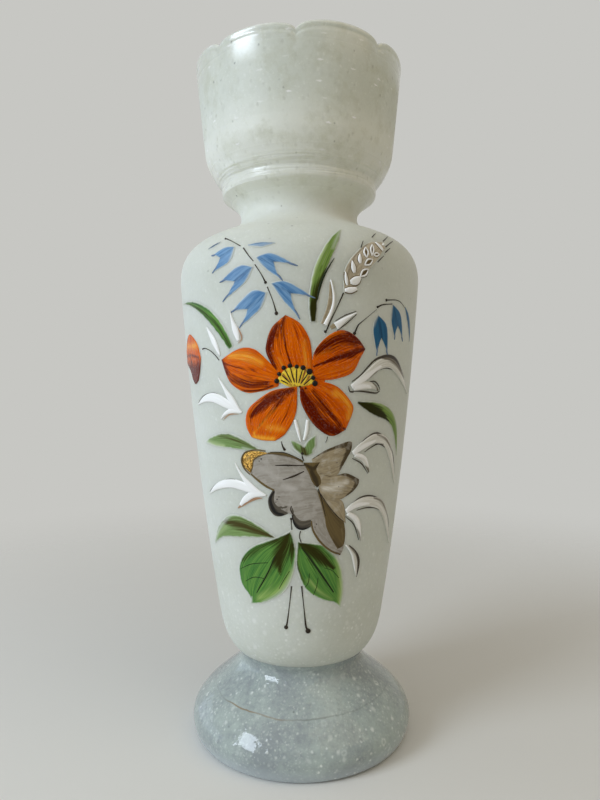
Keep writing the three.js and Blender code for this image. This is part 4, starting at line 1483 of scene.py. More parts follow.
@dataclass
class Flower:
    """The orange flower: five petals round a yellow heart with black stamens, and a side bud.

    anthers are the places and sizes of the black drops, and filaments the ways of their threads.
    """

    petal_height: float = 0.42
    hub: Deposit = brush(
        ((-9.4, -4), (-9.3, 0.8), (-5.2, 4.6), (0, 5.2), (5, 3.9), (7.8, 0), (7.2, -4)),
        (2.4, 4, 4, 4, 4.4, 5, 3.4)
    )
    heart: Deposit = Deposit(
        left=edge(((-2.5, -4.3), (-4.5, -4.2), (-9, -2))), right=edge(((0.5, -4.4), (2, -4.4), (5.9, -3))),
        end=edge(((-9, -2), (-7, 2), (-3.8, 3.8), (1.2, 3.9), (4.6, 1.6), (5.9, -3))), under=0.06,
        shade=(
            Touch(((-2, -3.6), (-2.5, 2.6)), (0.4, 0.9), 0.9, 0.7),
            Touch(((0.2, -3.4), (2.2, 2.4)), (0.4, 1.2), 0.9, 0.7),
            Touch(((1.2, -3.6), (4, -0.4)), (0.4, 1.2), 0.9, 0.7),
            Touch(((-3.2, -3.4), (-6.4, 0.8)), (0.4, 1.0), 0.7, 0.7),
            Touch(((-6, -3), (0, -4.2), (4.6, -3.4)), (0.8, 1.2, 0.8), 0.6, 1)
        )
    )
    bud: Deposit = Deposit(
        left=edge(((-58.2, -0.8), (-61, 2.8), (-68, 6))), right=edge(((-51, -1.5), (-49, 2.5), (-47.7, 8))),
        start=edge(((-58.2, -0.8), (-55, -3), (-51, -1.5))),
        end=edge(((-68, 6), (-66.5, 13), (-60, 18.5), (-54, 16.8), (-50, 13.5), (-47.7, 8))),
        shade=(
            Touch(((-67, 3.4), (-58, 2.4), (-49, 2.4)), (12, 14.6, 13), 0.9, 0.8),
            Touch(((-60, 0), (-55, -2.4), (-51, -0.6)), (5, 6, 5), 0.9, 1),
            Touch(((-58.6, 8), (-56.6, 3), (-57.8, -1.6)), (1.6, 2.2, 1.6), 0.8, 1),
            Touch(((-67, 9.4), (-58, 9.6), (-49.4, 8.4)), (1.8, 3.0, 1.8), 0.8, 1),
            Touch(((-66, 8), (-66, 13), (-60.5, 18)), (2.4, 2.4, 1.6), 0.6, 1),
            Touch(((-49, 8), (-50.4, 3), (-52, -1)), (2.0, 2.0, 1.4), 0.6, 1)
        ),
        light=(Touch(((-64, 13.6), (-51, 13.2)), (6, 6), 0.62, 1),)
    )
    anthers: tuple[tuple[Point, float], ...] = (
        ((-9, -2), 0.95), ((-8, 0.7), 0.8), ((-6.2, 3.1), 0.85), ((-3.8, 3.9), 0.85), ((-1.2, 3.5), 0.8),
        ((1.2, 3.1), 0.95), ((3.7, 1.6), 1.15), ((5.1, -0.8), 0.85), ((5.8, -3), 1.05), ((0, -4.3), 0.36),
        ((2.2, -4.8), 0.36)
    )
    filaments: tuple[Path, ...] = (
        ((-7.4, -1.6), (-4.6, -3)), ((-6.9, 0.2), (-3.9, -2.6)), ((-5.6, 2.2), (-3.2, -2.6)),
        ((-3.6, 3), (-2.2, -2.6)), ((-1.3, 2.6), (-1.3, -2.8)), ((1, 2.4), (-0.5, -2.8)),
        ((3.1, 0.8), (0.4, -3)), ((4.3, -1), (1.4, -3.6))
    )
    petals: dict[str, Deposit] = field(default_factory=lambda: {
        "petal_top": Deposit(
            left=edge(((-8.5, 0), (-12.7, 7.5), (-13.4, 11.5), (-11, 18.5), (-5.5, 23.4))),
            right=edge(((5, 2), (4.8, 8), (3.7, 14.5), (0, 20.3), (-5.5, 23.4))),
            shade=(
                Touch(((-9.5, 3), (-12.2, 9), (-11.6, 14), (-8.6, 19.5)), (4, 8, 8, 5), 0.86, 0.9),
                Touch(((-6, 23), (-6.6, 17), (-4.5, 8), (-3.5, 4)), (4, 3.4, 1.8, 1), 0.8, 1),
                Touch(((-8.6, 16), (-7.2, 8)), (2, 1.4), 0.6, 1),
                Touch(((-2.5, 21), (-0.5, 14)), (2, 1.2), 0.45, 1),
                Touch(((2.2, 15.5), (3.4, 9)), (1.4, 1), 0.3, 1)
            ),
            light=(
                Touch(((1.5, 13), (2.5, 3.5)), (5, 6), 0.4, 1),
                Touch(((-8, 7), (-6.5, 3.5)), (2.5, 3), 0.4, 1)
            )
        ),
        "petal_upper_right": Deposit(
            left=edge(((4.9, 3.5), (5.6, 9.5), (11, 15.5), (17, 17.8), (23, 15.3), (27.3, 10.6))),
            right=edge(((5, -1), (9.3, -1.8), (15, -1.2), (21.5, 1.3), (25, 7), (27.3, 10.6))),
            shade=(
                Touch(((6, 9), (11, 12.4), (17, 14.6), (22.6, 13)), (5, 11.6, 12.4, 8), 0.84, 0.9),
                Touch(((4.5, 3.2), (12, 6), (19, 8.2), (26.8, 10.6)), (0.8, 2.4, 4.2, 2.2), 1.0, 0.8),
                Touch(((19, 17), (23.5, 13.6), (27, 10.8)), (2, 2.4, 1.2), 0.8, 0.9),
                Touch(((20, 7.5), (24.5, 7)), (4, 3), 0.5, 1)
            ),
            light=(
                Touch(((8, 8.6), (13, 9.8)), (2.4, 1.6), 0.4, 1),
                Touch(((12, 1.4), (20, 3.2)), (2.4, 2.4), 0.3, 1)
            )
        ),
        "petal_lower_right": Deposit(
            left=edge(((5, -3), (9.3, -2.4), (15.5, -4.7), (21.3, -11), (21.7, -14.5), (18.5, -21.5))),
            right=edge(((-0.2, -4), (0.5, -11), (5.5, -19.5), (12.3, -23.9), (18.5, -21.5))),
            shade=(
                Touch(((0.8, -6), (4, -13), (9, -20), (15.5, -22.4)), (5, 11.4, 11.4, 6), 0.92, 0.8),
                Touch(((5, -6), (10, -12.5), (16, -19.5)), (3.4, 6.4, 4.4), 0.78, 1),
                Touch(((10, -6.5), (15.5, -14)), (1.4, 1.4), 0.35, 1),
                Touch(((17.6, -20.8), (18.6, -21.6)), (1.6, 1.4), 1.0, 0.8)
            ),
            light=(
                Touch(((14, -6.4), (19.4, -11.5), (19.6, -17)), (5, 7, 3.5), 0.62, 1),
                Touch(((9, -4.5), (14, -8)), (2.5, 3), 0.4, 1)
            )
        ),
        "petal_lower_left": Deposit(
            left=edge((
                (-5, -4.6), (-9.5, -5.3), (-13.5, -7), (-20.6, -12.3), (-22.5, -17), (-21.9, -21),
                (-19.9, -24.4)
            )),
            right=edge(((-1, -4), (-1.5, -14.5), (-5.5, -22.5), (-10, -25.7))),
            end=edge(((-19.9, -24.4), (-15.5, -25.5), (-10, -25.7))),
            shade=(
                Touch(((-3, -5.4), (-8, -7.4), (-14, -10.6), (-19.6, -15.6)), (4, 8, 8, 3.5), 0.95, 0.9),
                Touch(((-6.5, -9), (-12, -15), (-17.5, -21)), (3, 3, 1.2), 0.7, 1),
                Touch(((-3, -8), (-5.5, -15), (-8.5, -21)), (1.4, 1.8, 1), 0.55, 1),
                Touch(((-20.2, -16), (-19.4, -22)), (1.6, 1.2), 0.6, 1)
            ),
            light=(
                Touch(((-18.5, -24.2), (-10.5, -24.9)), (4.4, 4), 0.75, 1),
                Touch(((-18.6, -22.5), (-9.4, -12.2)), (1.6, 2.0), 0.7, 1),
                Touch(((-13, -20), (-6.5, -21)), (7, 5), 0.5, 1)
            )
        ),
        "petal_left": Deposit(
            left=edge(((-8.5, -4.2), (-15, -6), (-22, -6.6), (-28.5, -3.5), (-31.5, 0.5), (-34, 6.8))),
            right=edge(((-8.5, 2), (-12, 5.5), (-18, 10.5), (-25, 10.9), (-34, 6.8))),
            shade=(
                Touch(((-33.4, 6.2), (-30.6, 1)), (4, 3.4), 0.9, 1),
                Touch(((-33, 5.4), (-25, 3.4), (-16.5, 2)), (1.4, 1.8, 1), 0.8, 1),
                Touch(((-29, -1.4), (-21, -3.4), (-13, -3)), (4, 5.5, 3.5), 0.7, 1),
                Touch(((-24, -6), (-16, -5.6), (-10.5, -3.8)), (1.5, 2, 1.5), 0.95, 1),
                Touch(((-28, 0.6), (-19, -0.6)), (1.2, 1.4), 0.4, 1),
                Touch(((-31, 1), (-23, -1.8), (-13, -2.6)), (6, 9, 5), 0.5, 1)
            ),
            light=(
                Touch(((-29.5, 8.2), (-22, 8), (-15, 5.2)), (5, 7, 5), 0.58, 1),
                Touch(((-17, 0.4), (-11, -0.6)), (2.5, 2.5), 0.35, 1)
            )
        )
    })

    def build(self, painter: Painter) -> None:
        """Paints the flower.

        Args:
            painter: who lays the enamel.
        """
        for name, petal in self.petals.items():
            painter.piece("painted_" + name, Enamel.ORANGE, "orange_enamel", [petal], Relief.PETAL, [name])
        painter.piece("petal_hub", Enamel.ORANGE, "orange_enamel", [self.hub], Relief.LINE)
        painter.piece(
            "painted_side_bud", Enamel.ORANGE, "orange_enamel", [self.bud], Relief.PETAL, ["side_bud"]
        )
        painter.piece(
            "painted_heart", Enamel.YELLOW, "yellow_enamel", [self.heart], Relief.PETAL, ["flower_heart"]
        )
        painter.strokes(
            "stamens", Enamel.BLACK, "black_enamel", [(path, (0.36, 0.5, 0.34)) for path in self.filaments],
            under=self.petal_height + 0.04,
            beads=[(at, radius * 1.1, 0.6, self.petal_height) for at, radius in self.anthers]
        )


@dataclass
class WhiteReliefs:
    """Raised white strokes: blades, sprays and the scrolling hooks at the right.

    A hook is a thin veil with a thick white nub at its foot. outlines are the fine dark lines
    that shade one side of each stroke, drawn wider than noted by the share boldness.
    """

    boldness: float = 1.35
    strokes: dict[str, tuple[Deposit, ...]] = field(default_factory=lambda: {
        "white_drop_left": (brush(((-28.9, 26), (-27.8, 22), (-26, 17), (-25, 13.9)), (0.4, 1.5, 2.9, 1.4)),),
        "white_blade_left": (brush(((-42.3, 20.3), (-38, 14), (-34.6, 8.6)), (0.5, 2.8, 0.9)),),
        "white_blade_right": (
            brush(((12.1, 36.8), (13.3, 31), (12.8, 26), (9.9, 19.5)), (0.6, 1, 1.3, 1.8)),
        ),
        "white_leaf_right": (brush(((23, 24.6), (18.3, 22), (14.2, 19)), (0.4, 1.8, 3.2)),),
        "white_stroke_left": (brush(((-2, -17.2), (-1, -21), (0.2, -26)), (1.2, 1.3, 0.5)),),
        "white_stroke_right": (brush(((2.9, -17.2), (2.4, -22), (1.4, -25.4)), (1.2, 1.5, 0.9)),),
        "white_spray_upper": (
            brush(
                ((-53, -11.8), (-46, -9.2), (-39, -8.7), (-31.5, -11.2), (-24, -14.5)),
                (0.5, 2.9, 4.2, 3.6, 0.9)
            ),
            brush(((-36, -0.4), (-31.5, -6.5), (-27, -12), (-24.5, -14.3)), (0.5, 1.7, 3.0, 0.9)),
            brush(((-35.3, -17.4), (-32.5, -15), (-28.5, -13.7), (-24.5, -14.6)), (0.6, 1.6, 2.4, 0.8))
        ),
        "white_spray_lower": (
            brush(
                ((-47, -50.5), (-39, -46), (-30, -44), (-21.5, -45.5), (-14, -47.9)), (0.5, 3, 3.8, 3.6, 0.9)
            ),
            brush(((-28.3, -35), (-24.5, -40.7), (-19.5, -45.4), (-14.5, -47.8)), (0.5, 1.5, 2.6, 0.9)),
            brush(((-26, -52.8), (-23.5, -50.2), (-19.5, -47.7), (-14.5, -47.8)), (1.4, 2.9, 2.8, 0.9))
        )
    })
    hooks: dict[str, tuple[Deposit, ...]] = field(default_factory=lambda: {
        "white_arc_top": (
            brush(
                ((21, -4.6), (28, 0), (36, 5), (45, 4), (59.5, -7.2)), (2.2, 3.8, 4.4, 3.4, 0.5),
                shade=(
                    Touch(((36, 7.6), (42, 7.2), (48, 4.2), (54, -1)), (2, 4.4, 4, 1.6), 1.0, 0.6),
                    Touch(((28, -2.6), (33, 1.2), (38, 2.6)), (1.4, 2.6, 1), 0.9, 0.9)
                ),
                light=(Touch(((21, -4.5), (29, 0.5), (35, 4)), (3, 3.4, 1.5), 1.0, 0.8),)
            ),
            brush(
                ((21.8, -5), (27, -4), (31.4, -4.2), (34.4, -6)), (2.2, 3.2, 3.4, 2.6, 0.8),
                shade=(Touch(((30.6, -2.2), (33.6, -4.2), (34, -6.4)), (1.2, 3, 2.4), 1.0, 0.7),),
                light=(Touch(((21.8, -4.8), (27, -4.1), (30, -4.6)), (3, 3, 1.5), 1.0, 0.8),)
            )
        ),
        "white_arc_upper": (
            brush(
                ((21.8, -31.2), (27, -28), (34, -25.7), (42, -29.5), (50, -46.5)), (2, 4, 4, 2.8, 0.5),
                shade=(
                    Touch(((34, -24), (40, -26.4), (45, -32)), (1.4, 2.6, 1.4), 0.8, 0.9),
                    Touch(((27.6, -31), (32, -28.6), (38, -28.4)), (1.2, 2.6, 1.2), 0.9, 0.8)
                ),
                light=(Touch(((21.8, -31.2), (27, -28.5), (33, -26.5)), (3, 3.4, 1.6), 1.0, 0.8),)
            ),
            brush(
                ((22.7, -31.8), (27.5, -34), (30, -39.7)), (2, 2.8, 0.5),
                shade=(Touch(((26, -36), (29, -38), (30.4, -41)), (1, 2.2, 1.6), 0.9, 0.8),),
                light=(Touch(((22.7, -31.4), (27.5, -33), (29.6, -37)), (3, 2.4, 1), 1.0, 0.8),)
            )
        ),
        "white_arc_lower": (
            brush(
                ((18.9, -55), (24, -52.3), (31, -52), (40, -56.5), (48.8, -73.7)), (1.8, 4.2, 4.6, 3, 0.5),
                shade=(
                    Touch(((33, -50.6), (39, -53.4), (44, -60)), (1.4, 2.8, 1.4), 0.75, 0.9),
                    Touch(((24.6, -55), (30, -54.6), (37, -56.4)), (1.2, 2.4, 1.2), 0.7, 0.9)
                ),
                light=(Touch(((18.9, -55), (24, -52.8), (30, -52.5)), (3, 3.4, 1.6), 1.0, 0.8),)
            ),
            brush(
                ((19.6, -55.8), (24.3, -59.5), (26.4, -68.5)), (1.8, 3, 0.5),
                shade=(Touch(((22, -60.6), (25, -64.4), (26, -69)), (1, 1.8, 1.4), 0.7, 0.9),),
                light=(Touch(((19.6, -55.8), (24, -59), (26, -66)), (3, 3, 1), 1.0, 0.8),)
            )
        ),
        "white_sprig_bottom": (
            brush(
                ((18.9, -69), (23, -74), (24.4, -83.4)), (0.7, 2.6, 0.5),
                shade=(Touch(((20.5, -69.5), (24.6, -75), (25.3, -82)), (1.2, 2, 1), 0.9, 1),),
                light=(Touch(((18.9, -69), (22, -74), (23.6, -81)), (1, 1.4, 0.8), 0.9, 1),)
            ),
        )
    })
    outlines: tuple[Stroke, ...] = (
        (
            (
                (21, -2.4), (25, 0.2), (28, 3), (32, 6.3), (36, 7.6), (40, 8), (45, 6.6), (49.5, 2.8),
                (54, -1.5), (60, -7.5)
            ),
            (0.4, 0.6, 1.0, 2.0, 1.2, 0.4)
        ),
        (
            ((27, -1.8), (30, 0.5), (34, 2.3), (38, 3.3), (43, 2.8), (47, 1.3), (52, -2.5)),
            (0.3, 0.6, 0.5, 0.3)
        ),
        (((20.6, -6.2), (25, -6.2), (30, -6.7), (33.4, -7), (35.2, -6)), (0.3, 0.5, 0.6, 0.4)),
        (((29, -2.6), (32, -2.2), (34.4, -3.8), (35.4, -5.8)), (0.3, 0.5, 0.5, 0.3)),
        (((19.6, -4), (20.2, -6.2), (22, -6.6)), (0.3, 0.5, 0.3)),
        (
            (
                (24, -28.5), (28, -25.5), (33, -23.5), (37, -24.5), (41, -27.5), (45.5, -32), (48, -37),
                (50, -46)
            ),
            (0.4, 0.7, 1.0, 1.0, 0.6, 0.4)
        ),
        (((27.5, -31), (31, -29.2), (35, -28), (38.5, -29), (42, -31), (45, -33.5)), (0.3, 0.6, 0.4)),
        (((21.5, -33.2), (26, -35.6), (29.5, -40)), (0.3, 0.5, 0.3)),
        (
            (
                (21, -52.5), (25, -50), (30, -49.5), (35, -51), (39.5, -54.5), (43.5, -59), (46, -63),
                (47.5, -69), (49, -74)
            ),
            (0.4, 0.7, 0.9, 0.9, 0.6, 0.4)
        ),
        (((24, -55), (28, -54.5), (32, -54.7), (36, -55.7), (40, -58.5), (44.5, -62)), (0.3, 0.6, 0.4)),
        (((18.6, -57), (22.8, -61), (25.4, -68)), (0.3, 0.5, 0.3)),
        (((20.5, -69.5), (23.5, -72.5), (25.5, -76), (25.5, -80), (24.6, -84)), (0.5, 1.0, 0.9, 0.3)),
        (((-53, -11), (-47, -7.9), (-40, -6.6), (-36, -7.4)), (0.25, 0.35, 0.3, 0.2)),
        (((-47, -49.6), (-40, -45), (-31, -42.2), (-25, -43)), (0.25, 0.35, 0.3, 0.2)),
        (((22.9, 25.2), (18, 23.4), (14, 21.2)), (0.3, 0.4, 0.3)),
        (((23, 24), (18.8, 20.4), (14.6, 17.4)), (0.3, 0.4, 0.3))
    )
    shadows: tuple[Stroke, ...] = (
        (((11.8, 36), (12.1, 30.5), (11.3, 25), (8.8, 19.8)), (0.6, 1.8, 2.4, 1.6)),
        (((12, 18.4), (13.6, 19.4), (15, 20.6)), (1.4, 2.0, 1.0))
    )
    blushes: tuple[Stroke, ...] = (
        (((-27.4, -54.2), (-22.6, -51), (-18.6, -49.4), (-15.4, -49)), (0.8, 1.9, 1.6, 0.6)),
        (((-34.4, -18), (-30.4, -15.4), (-25.6, -15.2)), (0.4, 1.0, 0.4)),
        (((-27, 21), (-24.4, 17.6), (-23.6, 14.6), (-25.4, 13)), (0.3, 0.7, 1.0, 0.5))
    )

    def build(self, painter: Painter) -> None:
        """Paints the white strokes.

        Args:
            painter: who lays the enamel.
        """
        for coats, enamel in ((self.strokes, Enamel.WHITE), (self.hooks, Enamel.GHOST)):
            for name, strokes in coats.items():
                painter.piece("painted_" + name, enamel, "white_enamel", strokes, Relief.RAISED, [name])
        bold = [(path, tuple(width * self.boldness for width in widths)) for path, widths in self.outlines]
        painter.strokes("relief_outlines", Enamel.SEPIA, "brown_enamel", bold)
        painter.strokes("relief_shadows", Enamel.TAUPE, "brown_enamel", self.shadows, Relief.WASH)
        painter.strokes("relief_blushes", Enamel.RUST, "brown_enamel", self.blushes, Relief.WASH)


@dataclass
class Butterfly:
    """The butterfly in greys and browns, its wing tip gilded.

    wings holds its solids in the order that they are painted, the body and dark edges too.
    """

    wings: dict[str, Coat] = field(default_factory=lambda: {
        "butterfly_near_wing": (Enamel.MAUVE, "grey_enamel", Deposit(
            start=edge(((0.9, -34.2), (4.2, -39.5), (6, -44.5), (7.8, -49), (9.9, -57.2))),
            left=edge(((0.9, -34.2), (-3, -32), (-9, -30.4), (-16, -30.8), (-23, -33), (-23.6, -35.5))),
            right=edge(((9.9, -57.2), (4, -57.7), (0.5, -58), (-2.6, -55.5), (-3.6, -51.5))),
            end=edge(
                ((-23.6, -35.5), (-20, -40.5), (-14, -44.5), (-10.2, -46.2)),
                ((-10.2, -46.2), (-10.8, -50), (-9, -52.4), (-3.6, -51.5))
            ),
            shade=(
                Touch(((-23, -36), (-18, -41), (-10.8, -45.6)), (1.6, 1.8, 1.4), 0.55, 1),
                Touch(((-22, -33), (-12, -30.8), (-2, -32.4)), (1.2, 1.4, 1.2), 0.9, 1)
            ),
            light=(
                Touch(((-17, -36), (-8, -41), (-1, -48)), (8, 10, 7), 0.4, 1),
                Touch(((-7, -43), (-2, -45)), (3, 3), 0.35, 1)
            )
        )),
        "butterfly_far_wing_upper": (Enamel.TAUPE, "taupe_enamel", Deposit(
            start=edge(((4.4, -32.9), (5.6, -36.6), (7.6, -40.4))),
            left=edge(((4.4, -32.9), (9, -29.9), (13, -28.2), (19.5, -26.2), (21.5, -26.7))),
            right=edge(((7.6, -40.4), (11, -41), (14.5, -40.2), (16.3, -37.8))),
            end=edge(((21.5, -26.7), (21.2, -29.5), (19.3, -33), (16.3, -37.8))),
            shade=(
                Touch(((5, -32.5), (12, -28.7), (20, -26.9)), (1, 2.6, 5), 1.0, 0.7),
                Touch(((21, -26.6), (19.8, -31), (16.6, -37)), (5, 4.4, 2.2), 1.0, 0.6),
                Touch(((8, -38.8), (12, -40)), (2.4, 2), 0.5, 1)
            ),
            light=(Touch(((9, -33.4), (15, -33.6)), (4, 4), 0.35, 1),)
        )),
        "butterfly_far_wing_middle": (Enamel.TAUPE, "taupe_enamel", Deposit(
            start=edge(((7.2, -40.2), (7.4, -46.4))),
            left=edge(((7.2, -40.2), (14, -40), (19, -39.2), (25, -42))),
            right=edge(((7.4, -46.4), (12, -49.6), (17, -49.6))),
            end=edge(((25, -42), (24.8, -44), (22, -47), (17, -49.6))), under=0.05,
            shade=(
                Touch(
                    ((15, -39.6), (20, -39.8), (24.2, -42.4), (22.6, -46.2), (19, -48.8)),
                    (0.8, 2.6, 4.6, 3.4, 1.6), 1.0, 0.6
                ),
            ),
            light=(Touch(((9.5, -45), (14, -44.6), (18.6, -43)), (6, 8, 5), 0.72, 1),)
        )),
        "butterfly_far_wing_lower": (Enamel.TAUPE, "taupe_enamel", Deposit(
            left=edge(((7.4, -46.2), (12, -49.2), (16.4, -49.8), (18.3, -53), (18.9, -60))),
            right=edge(((7.4, -46.2), (11.6, -53.7), (15.4, -57.4), (18.9, -60))),
            shade=(Touch(((17.5, -51), (18.7, -54), (18.8, -59)), (1.2, 2, 1.4), 0.6, 1),),
            light=(Touch(((11, -50.6), (16, -54.6)), (3, 2), 0.3, 1),)
        )),
        "butterfly_near_wing_lower": (Enamel.MAUVE, "taupe_enamel", Deposit(
            start=edge(((4.2, -57.2), (10.2, -56.8))),
            left=edge(((4.2, -57.2), (4.6, -61.5), (7, -65.5), (11, -70), (16.8, -73))),
            right=edge(((10.2, -56.8), (12.6, -60.4), (18.2, -67))),
            end=edge(((16.8, -73), (18, -70.5), (18.2, -67))),
            shade=(
                Touch(((4.3, -60), (7, -66), (12, -71.2), (17, -72)), (1.6, 2.4, 2.4, 2), 0.6, 0.9),
                Touch(((15, -70), (17.6, -70)), (3, 3), 0.5, 1)
            ),
            light=(Touch(((7.5, -60), (12, -66)), (3, 2.5), 0.3, 1),)
        )),
        "butterfly_wing_fold": (Enamel.BROWN, "brown_enamel", Deposit(
            left=edge(((6.5, -45), (7.7, -49), (9.6, -56), (10.4, -61), (12.6, -66), (15.2, -70.5))),
            right=edge(((6.5, -45), (10, -50.5), (14, -55.7), (18, -59))),
            end=edge(((15.2, -70.5), (18, -69), (18.7, -64), (18, -59))),
            shade=(
                Touch(((8, -47.5), (12, -54), (16.6, -60)), (1, 2.4, 2), 0.5, 1),
                Touch(((13.5, -66.5), (16, -70)), (2, 2), 0.5, 1)
            ),
            light=(Touch(((17, -62), (17.6, -67)), (1.6, 1.6), 0.5, 1),), under=0.1
        )),
        "butterfly_gilt_tip": (Enamel.GILT, "gilding", Deposit(
            left=edge((
                (-12.8, -30.6), (-17.5, -29.8), (-22.5, -30.7), (-24.4, -33.5), (-23.6, -36.5), (-20.7, -39)
            )),
            right=edge(((-12.8, -30.6), (-17, -31.9), (-19.4, -33.5), (-19.7, -36), (-20.7, -39))),
            shade=(Touch(((-20, -38.4), (-22.8, -35)), (2, 1), 0.6, 1),),
            light=(Touch(((-21, -31.5), (-22.4, -35)), (2, 2), 0.2, 1),), under=0.12
        )),
        "butterfly_edge_left": (Enamel.SOOT, "black_enamel", brush(
            ((-10.6, -45.4), (-11.8, -50), (-9.4, -54), (-4.6, -53.2)), (1.1, 3.0, 4.6, 3.0),
            shade=(
                Touch(
                    ((-10.6, -46), (-12.2, -49.5), (-10.4, -54.4), (-7, -55.6)), (1.2, 2.2, 3, 2), 1.0, 0.9
                ),
            )
        )),
        "butterfly_edge_bottom": (Enamel.SOOT, "black_enamel", brush(
            ((-3.4, -52), (-2.4, -57), (0.2, -59.8), (4.6, -58.6)), (0.7, 2, 4.2, 2.6),
            shade=(Touch(((-3.8, -53), (-3, -58), (-0.4, -61.4), (3.6, -60.8)), (1, 1.8, 3, 2), 1.0, 0.9),)
        )),
        "butterfly_body": (Enamel.BROWN, "black_enamel", Deposit(
            start=edge(((1.2, -34.3), (7.8, -34.2))),
            left=edge(((1.2, -34.3), (3.3, -38.5), (4.6, -42), (6.6, -44.4))),
            right=edge(((7.8, -34.2), (6.3, -37.3), (7.9, -40.2), (8.2, -42.8), (6.6, -44.4))),
            shade=(
                Touch(((1.5, -34.6), (5, -36.6), (7.6, -34.6)), (1.4, 3.6, 1.4), 0.9, 0.9),
                Touch(((4.4, -38), (6, -41.5), (6.8, -43.8)), (2.6, 4, 2), 1.0, 0.8)
            ),
            under=0.15
        ))
    })
    rims: tuple[Stroke, ...] = (
        (((-13, -30.6), (-8, -30.7), (-3, -31.9), (1, -34)), (0.6, 1.0, 1.0, 0.7)),
        (((-20.6, -39.2), (-17, -42), (-13.6, -44.2), (-10.4, -45.6)), (0.6, 0.9, 1.0, 0.7)),
        (((4.4, -58), (5, -62), (8, -67), (12.4, -71), (16.6, -73)), (0.5, 0.8, 0.9, 0.9, 0.6)),
        (
            ((-14, -29.8), (-18, -29.4), (-22.8, -30.6), (-24.8, -33.6), (-23.8, -37), (-21, -39.6)),
            (0.4, 0.7, 0.8, 0.8, 0.7, 0.4)
        ),
        (((-14, -31), (-17, -32.1), (-19.2, -33.7), (-19.6, -36), (-20.4, -38.6)), (0.4, 0.6, 0.6, 0.4))
    )
    veins: tuple[Stroke, ...] = (
        (((-12, -30.2), (-6, -30.4), (0.5, -33.3)), (0.3, 0.4, 0.4)),
        (((-10, -35.5), (-5.8, -35.3), (0, -35.4), (3, -35)), (0.3, 0.7, 0.5, 0.4)),
        (((-7, -41.2), (-2.5, -39.6), (1.5, -37.7)), (0.3, 0.8, 0.4)),
        (((7.2, -45), (8.6, -50), (10.1, -56.5)), (0.4, 0.6, 0.4)),
        (((17.8, -59), (15.5, -57), (12, -53), (8, -47)), (0.3, 0.4, 0.3)),
        (((-3.6, -51.8), (-3.9, -53.5), (-2.7, -56)), (0.4, 0.5, 0.3))
    )
    specks: tuple[tuple[Point, float], ...] = (
        ((-15.8, -33), 0.3), ((-16.7, -33.9), 0.22), ((-9.4, -49.2), 0.28), ((-9.9, -50.4), 0.22),
        ((-8.6, -48.2), 0.22), ((6.4, -59.4), 0.26), ((5.8, -60.6), 0.2), ((-4.8, -35.4), 0.4),
        ((14.8, -34.6), 0.2), ((15.6, -44.4), 0.2)
    )
    feelers: tuple[Stroke, ...] = (
        (((-7.5, -25.7), (-7, -27.6), (-6, -29.4)), (0.3, 0.6, 1.2)),
        (((10, -26.5), (10.6, -25.2), (10.8, -24)), (0.3, 0.4, 0.3)),
        (((0.7, -31.2), (0.9, -32.4), (1.4, -33.6)), (0.4, 0.6, 0.5))
    )

    def build(self, painter: Painter) -> None:
        """Paints the butterfly from its wings up to its body.

        Args:
            painter: who lays the enamel.
        """
        for name, (enamel, slot, deposit) in self.wings.items():
            painter.piece("painted_" + name, enamel, slot, [deposit], Relief.WASH, [name])
        painter.strokes("butterfly_rims", Enamel.BROWN, "brown_enamel", self.rims, under=0.1)
        painter.strokes(
            "butterfly_veins", Enamel.INK, "black_enamel", self.veins, under=0.12,
            beads=[(at, radius, 0.12, 0.2) for at, radius in self.specks]
        )
        painter.strokes(
            "butterfly_feelers", Enamel.INK, "black_enamel", self.feelers,
            beads=[((0.8, -30.6), 0.6, 0.4, 0.1)]
        )


